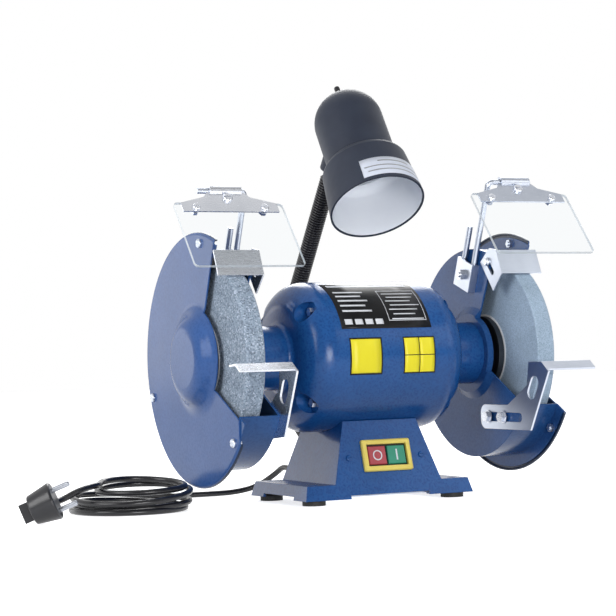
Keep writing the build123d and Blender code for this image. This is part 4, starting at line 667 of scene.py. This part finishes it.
def shellLabel(name, xs, angles, look, layer):
    # thin sheet on the motor shell, from one place along it to another and over an arc in degrees
    s = shellSettings
    low = s["lift"] + layer * s["thick"]
    grids = []
    for lift in (low + s["thick"], low):
        rows = []
        for row in range(s["rows"] + 1):
            degrees = between(angles, row / s["rows"])
            rows.append([shellPoint(s, between(xs, column / s["columns"]), degrees, lift)
                         for column in range(s["columns"] + 1)])
        grids.append(rows)
    slab(name, grids[0], grids[1], look, "frame")


# Places along the shaft in metres, heights round the shell in degrees
plateSettings = {
    "plate": ((-0.055, 0.046), (21.0, 74.0)), "stripe": ((-0.050, 0.040), (66.0, 69.5)),
    "rules": {"count": 7, "top": 55.0, "step": 4.3, "height": 0.9, "left": 0.004, "leftStep": 0.003,
              "right": 0.040, "rightStep": 0.004},
    "lines": {"count": 5, "top": 58.0, "step": 5.2, "height": 1.6, "left": -0.049, "right": -0.016,
              "rightStep": 0.005},
    "frame": {"xs": (0.0, 0.0425), "angles": (27.2, 59.0), "width": 0.0005, "height": 0.6},
    "boxes": {"count": 4, "left": -0.050, "step": 0.0115, "width": 0.0085, "angles": (24.5, 29.0)},
}


def ruledPlate(s):
    # dark plate with blank pale rules
    shellLabel("ratingPlate", *s["plate"], "ink", 0)
    rules = s["rules"]
    for number in range(rules["count"]):
        top = rules["top"] - number * rules["step"]
        left = rules["left"] + rules["leftStep"] * (number % 2)
        right = rules["right"] - rules["rightStep"] * (number % 3)
        shellLabel("plateRule%d" % number, (left, right), (top - rules["height"], top), "white", 1)
    lines = s["lines"]
    for number in range(lines["count"]):
        top = lines["top"] - number * lines["step"]
        xs = (lines["left"], lines["right"] - lines["rightStep"] * (number % 2))
        shellLabel("plateLine%d" % number, xs, (top - lines["height"], top), "white", 1)
    left, right = s["frame"]["xs"]
    low, top = s["frame"]["angles"]
    width, height = s["frame"]["width"], s["frame"]["height"]
    for name, xs, angles in (("Top", (left, right), (top - height, top)),
                             ("Low", (left, right), (low, low + height)),
                             ("Left", (left, left + width), (low, top)),
                             ("Right", (right - width, right), (low, top))):
        shellLabel("plateFrame" + name, xs, angles, "white", 1)
    shellLabel("plateStripe", *s["stripe"], "white", 1)
    boxes = s["boxes"]
    for number in range(boxes["count"]):
        left = boxes["left"] + number * boxes["step"]
        shellLabel("plateBox%d" % number, (left, left + boxes["width"]), boxes["angles"], "white", 1)


stickerSettings = {
    "leftBorder": ((-0.049, -0.013), (-14.0, 14.0)), "left": ((-0.0475, -0.0145), (-12.8, 12.8)),
    "rightBorder": ((0.011, 0.047), (-14.0, 14.0)), "corner": (0.0122, -13.0), "step": (0.0173, 13.3),
    "size": (0.0163, 12.7),
}


def yellowStickers(s):
    # one plain square, and four small ones in a square
    shellLabel("leftStickerBorder", *s["leftBorder"], "ink", 0)
    shellLabel("leftSticker", *s["left"], "sticker", 1)
    shellLabel("rightStickerBorder", *s["rightBorder"], "ink", 0)
    for column in range(2):
        for row in range(2):
            left = s["corner"][0] + column * s["step"][0]
            low = s["corner"][1] + row * s["step"][1]
            xs, angles = (left, left + s["size"][0]), (low, low + s["size"][1])
            shellLabel("rightSticker%d%d" % (column, row), xs, angles, "sticker", 1)


ruledPlate(plateSettings)
yellowStickers(stickerSettings)

lampLabelSettings = {"from": 0.0035, "to": 0.0265, "middle": -86.0, "half": 44.0, "lift": 0.00015,
                     "thick": 0.00012, "rows": 3, "columns": 20, "rule": 0.0012,
                     # each rule's share of the label's height, and its inset in degrees
                     "rules": ((0.25, 7.0), (0.5, 4.0), (0.76, 22.0))}


def lampStrip(name, s, heights, angles, look, layer):
    # thin sheet on the shade's tapered collar
    mouth, axis, side, wide = (Vector(lamp[key]) for key in ("mouth", "axis", "side", "wide"))
    low = s["lift"] + layer * s["thick"]
    grids = []
    for lift in (low + s["thick"], low):
        rows = []
        for row in range(s["rows"] + 1):
            height = between(heights, row / s["rows"])
            radius = between((lamp["mouthRadius"], lamp["collarRadius"]), height / lamp["collar"]) + lift
            line = []
            for column in range(s["columns"] + 1):
                angle = math.radians(between(angles, column / s["columns"]))
                outward = wide * math.cos(angle) + side * math.sin(angle)
                line.append(mouth + axis * height + outward * radius)
            rows.append(line)
        grids.append(rows)
    slab(name, grids[0], grids[1], look, "lamp_head")


def lampLabel(s):
    first, last = s["middle"] - s["half"], s["middle"] + s["half"]
    lampStrip("lampLabel", s, (s["from"], s["to"]), (first, last), "label", 0)
    for number, (share, inset) in enumerate(s["rules"]):
        height = between((s["from"], s["to"]), share)
        heights = (height, height + s["rule"])
        lampStrip("lampRule%d" % number, s, heights, (first + inset, last - inset), "grey", 1)


lampLabel(lampLabelSettings)

# Ring and bar on the push buttons
switchSettings = {"x": 0.0013, "z": 0.0455, "proud": 0.0022, "button": 0.0109, "lean": 15.43,
                  "front": 0.062, "frontHeight": 0.005, "slope": 0.276, "ring": (0.0040, 0.0052), "sides": 48,
                  "barHalf": (0.0008, 0.0055), "lift": 0.00005, "thick": 0.00025}


def panelPoint(s, x, y, out):
    # place on the leaning front panel, across, up and out from the switch's middle
    lean = math.radians(s["lean"])
    depth = s["front"] - (s["z"] - s["frontHeight"]) * s["slope"]
    origin = Vector((s["x"], -depth, s["z"]))
    normal = Vector((0, -math.cos(lean), math.sin(lean)))
    rise = Vector((0, math.sin(lean), math.cos(lean)))
    return origin + Vector((1, 0, 0)) * x + rise * y + normal * out


def switchMarks(s):
    low = s["proud"] + s["lift"]
    levels = (low + s["thick"], low)
    turns = [2 * math.pi * number / s["sides"] for number in range(s["sides"] + 1)]
    ring = [[[panelPoint(s, radius * math.cos(a) - s["button"], radius * math.sin(a), out) for a in turns]
             for radius in s["ring"]] for out in levels]
    slab("stopMark", ring[0], ring[1], "white", "stop_key", False)
    half = s["barHalf"]
    bar = [[[panelPoint(s, s["button"] + across * half[0], up * half[1], out) for across in (-1, 0, 1)]
            for up in (-1, 0, 1)] for out in levels]
    slab("startMark", bar[0], bar[1], "white", "start_key", False)


switchMarks(switchSettings)
print("labels made")

# Floor, world and lights
stageSettings = {
    "half": 6.0, "floor": (0.93, 0.93, 0.935), "floorRough": 0.6, "floorShine": 0.25, "glow": 0.75,
    "bounce": (0.42, 0.43, 0.45), "sky": (0.96, 0.98, 1.0), "skyLight": 0.45,
    # level of the room in front of the object, and where it gives way to the backdrop
    "room": 0.4, "roomEdge": (-0.45, 0.05),
}


def seenWhite(material):
    # one for rays that show the background: to the camera, in gloss and through clear pieces
    path = put(material, "ShaderNodeLightPath").outputs
    rays = [path["Is Camera Ray"], path["Is Glossy Ray"], path["Is Transmission Ray"]]
    return chained(material, "MAXIMUM", rays)


def makeFloor(s):
    half = s["half"]
    floor = bpy.data.meshes.new("studioFloor")
    corners = [(-half, -half, 0), (half, -half, 0), (half, half, 0), (-half, half, 0)]
    floor.from_pydata(corners, [], [(0, 1, 2, 3)])
    material = newMaterial("studioFloor")
    bright = put(material, "ShaderNodeBsdfPrincipled", {
        "Base Color": (*s["floor"], 1), "Roughness": s["floorRough"], "Specular IOR Level": s["floorShine"],
        "Emission Color": (1, 1, 1, 1), "Emission Strength": s["glow"]})
    plain = put(material, "ShaderNodeBsdfDiffuse", {"Color": (*s["bounce"], 1)})
    both = put(material, "ShaderNodeMixShader")
    wire(material, seenWhite(material), both.inputs["Fac"])
    wire(material, plain.outputs["BSDF"], both.inputs[1])
    wire(material, bright.outputs["BSDF"], both.inputs[2])
    out = put(material, "ShaderNodeOutputMaterial")
    wire(material, both.outputs["Shader"], out.inputs["Surface"])
    floor.materials.append(material)
    piece = bpy.data.objects.new("studioFloor", floor)
    scene.collection.objects.link(piece)


def makeWorld(s):
    world = bpy.data.worlds.new("studio")
    scene.world = world
    world.use_nodes = True
    world.node_tree.nodes.clear()
    # white backdrop, and in gloss a darker room in front of the object
    place = put(world, "ShaderNodeTexCoord")
    apart = put(world, "ShaderNodeSeparateXYZ")
    room = put(world, "ShaderNodeMapRange", {
        "From Min": s["roomEdge"][0], "From Max": s["roomEdge"][1], "To Min": s["room"], "To Max": 1.0})
    wire(world, place.outputs["Generated"], apart.inputs[0])
    wire(world, apart.outputs["Y"], room.inputs["Value"])
    path = put(world, "ShaderNodeLightPath").outputs
    levels = [room.outputs["Result"], path["Is Camera Ray"], path["Is Transmission Ray"]]
    seen = put(world, "ShaderNodeBackground", {"Strength": 1.0})
    wire(world, chained(world, "MAXIMUM", levels), seen.inputs["Color"])
    light = put(world, "ShaderNodeBackground", {"Color": (*s["sky"], 1), "Strength": s["skyLight"]})
    both = put(world, "ShaderNodeMixShader")
    wire(world, seenWhite(world), both.inputs["Fac"])
    wire(world, light.outputs["Background"], both.inputs[1])
    wire(world, seen.outputs["Background"], both.inputs[2])
    out = put(world, "ShaderNodeOutputWorld")
    wire(world, both.outputs["Shader"], out.inputs["Surface"])


lights = {
    "keyLight": {"place": (-1.7, -0.45, 0.75), "aim": (0, 0, 0.16), "size": 0.9, "watts": 14.0},
    "frontLight": {"place": (-0.35, -1.75, 0.15), "aim": (0, 0, 0.24), "size": 0.7, "watts": 18.0},
    "fillLight": {"place": (1.3, -1.3, 0.9), "aim": (0, 0, 0.16), "size": 1.0, "watts": 5.0},
    "backLight": {"place": (0.75, 1.4, 1.2), "aim": (0, 0, 0.2), "size": 1.0, "watts": 16.0},
    "sideLight": {"place": (-0.97, 1.96, 0.32), "aim": (-0.19, 0.05, 0.15), "size": 0.5, "watts": 1.4},
}


def makeLights(settings):
    for name, s in settings.items():
        data = bpy.data.lights.new(name, "AREA")
        data.shape = "SQUARE"
        data.size = s["size"]
        data.energy = s["watts"]
        piece = bpy.data.objects.new(name, data)
        scene.collection.objects.link(piece)
        piece.visible_camera = False
        place = Vector(s["place"])
        piece.location = place
        piece.rotation_euler = (Vector(s["aim"]) - place).to_track_quat("-Z", "Y").to_euler()


makeFloor(stageSettings)
makeWorld(stageSettings)
makeLights(lights)
print("stage made")
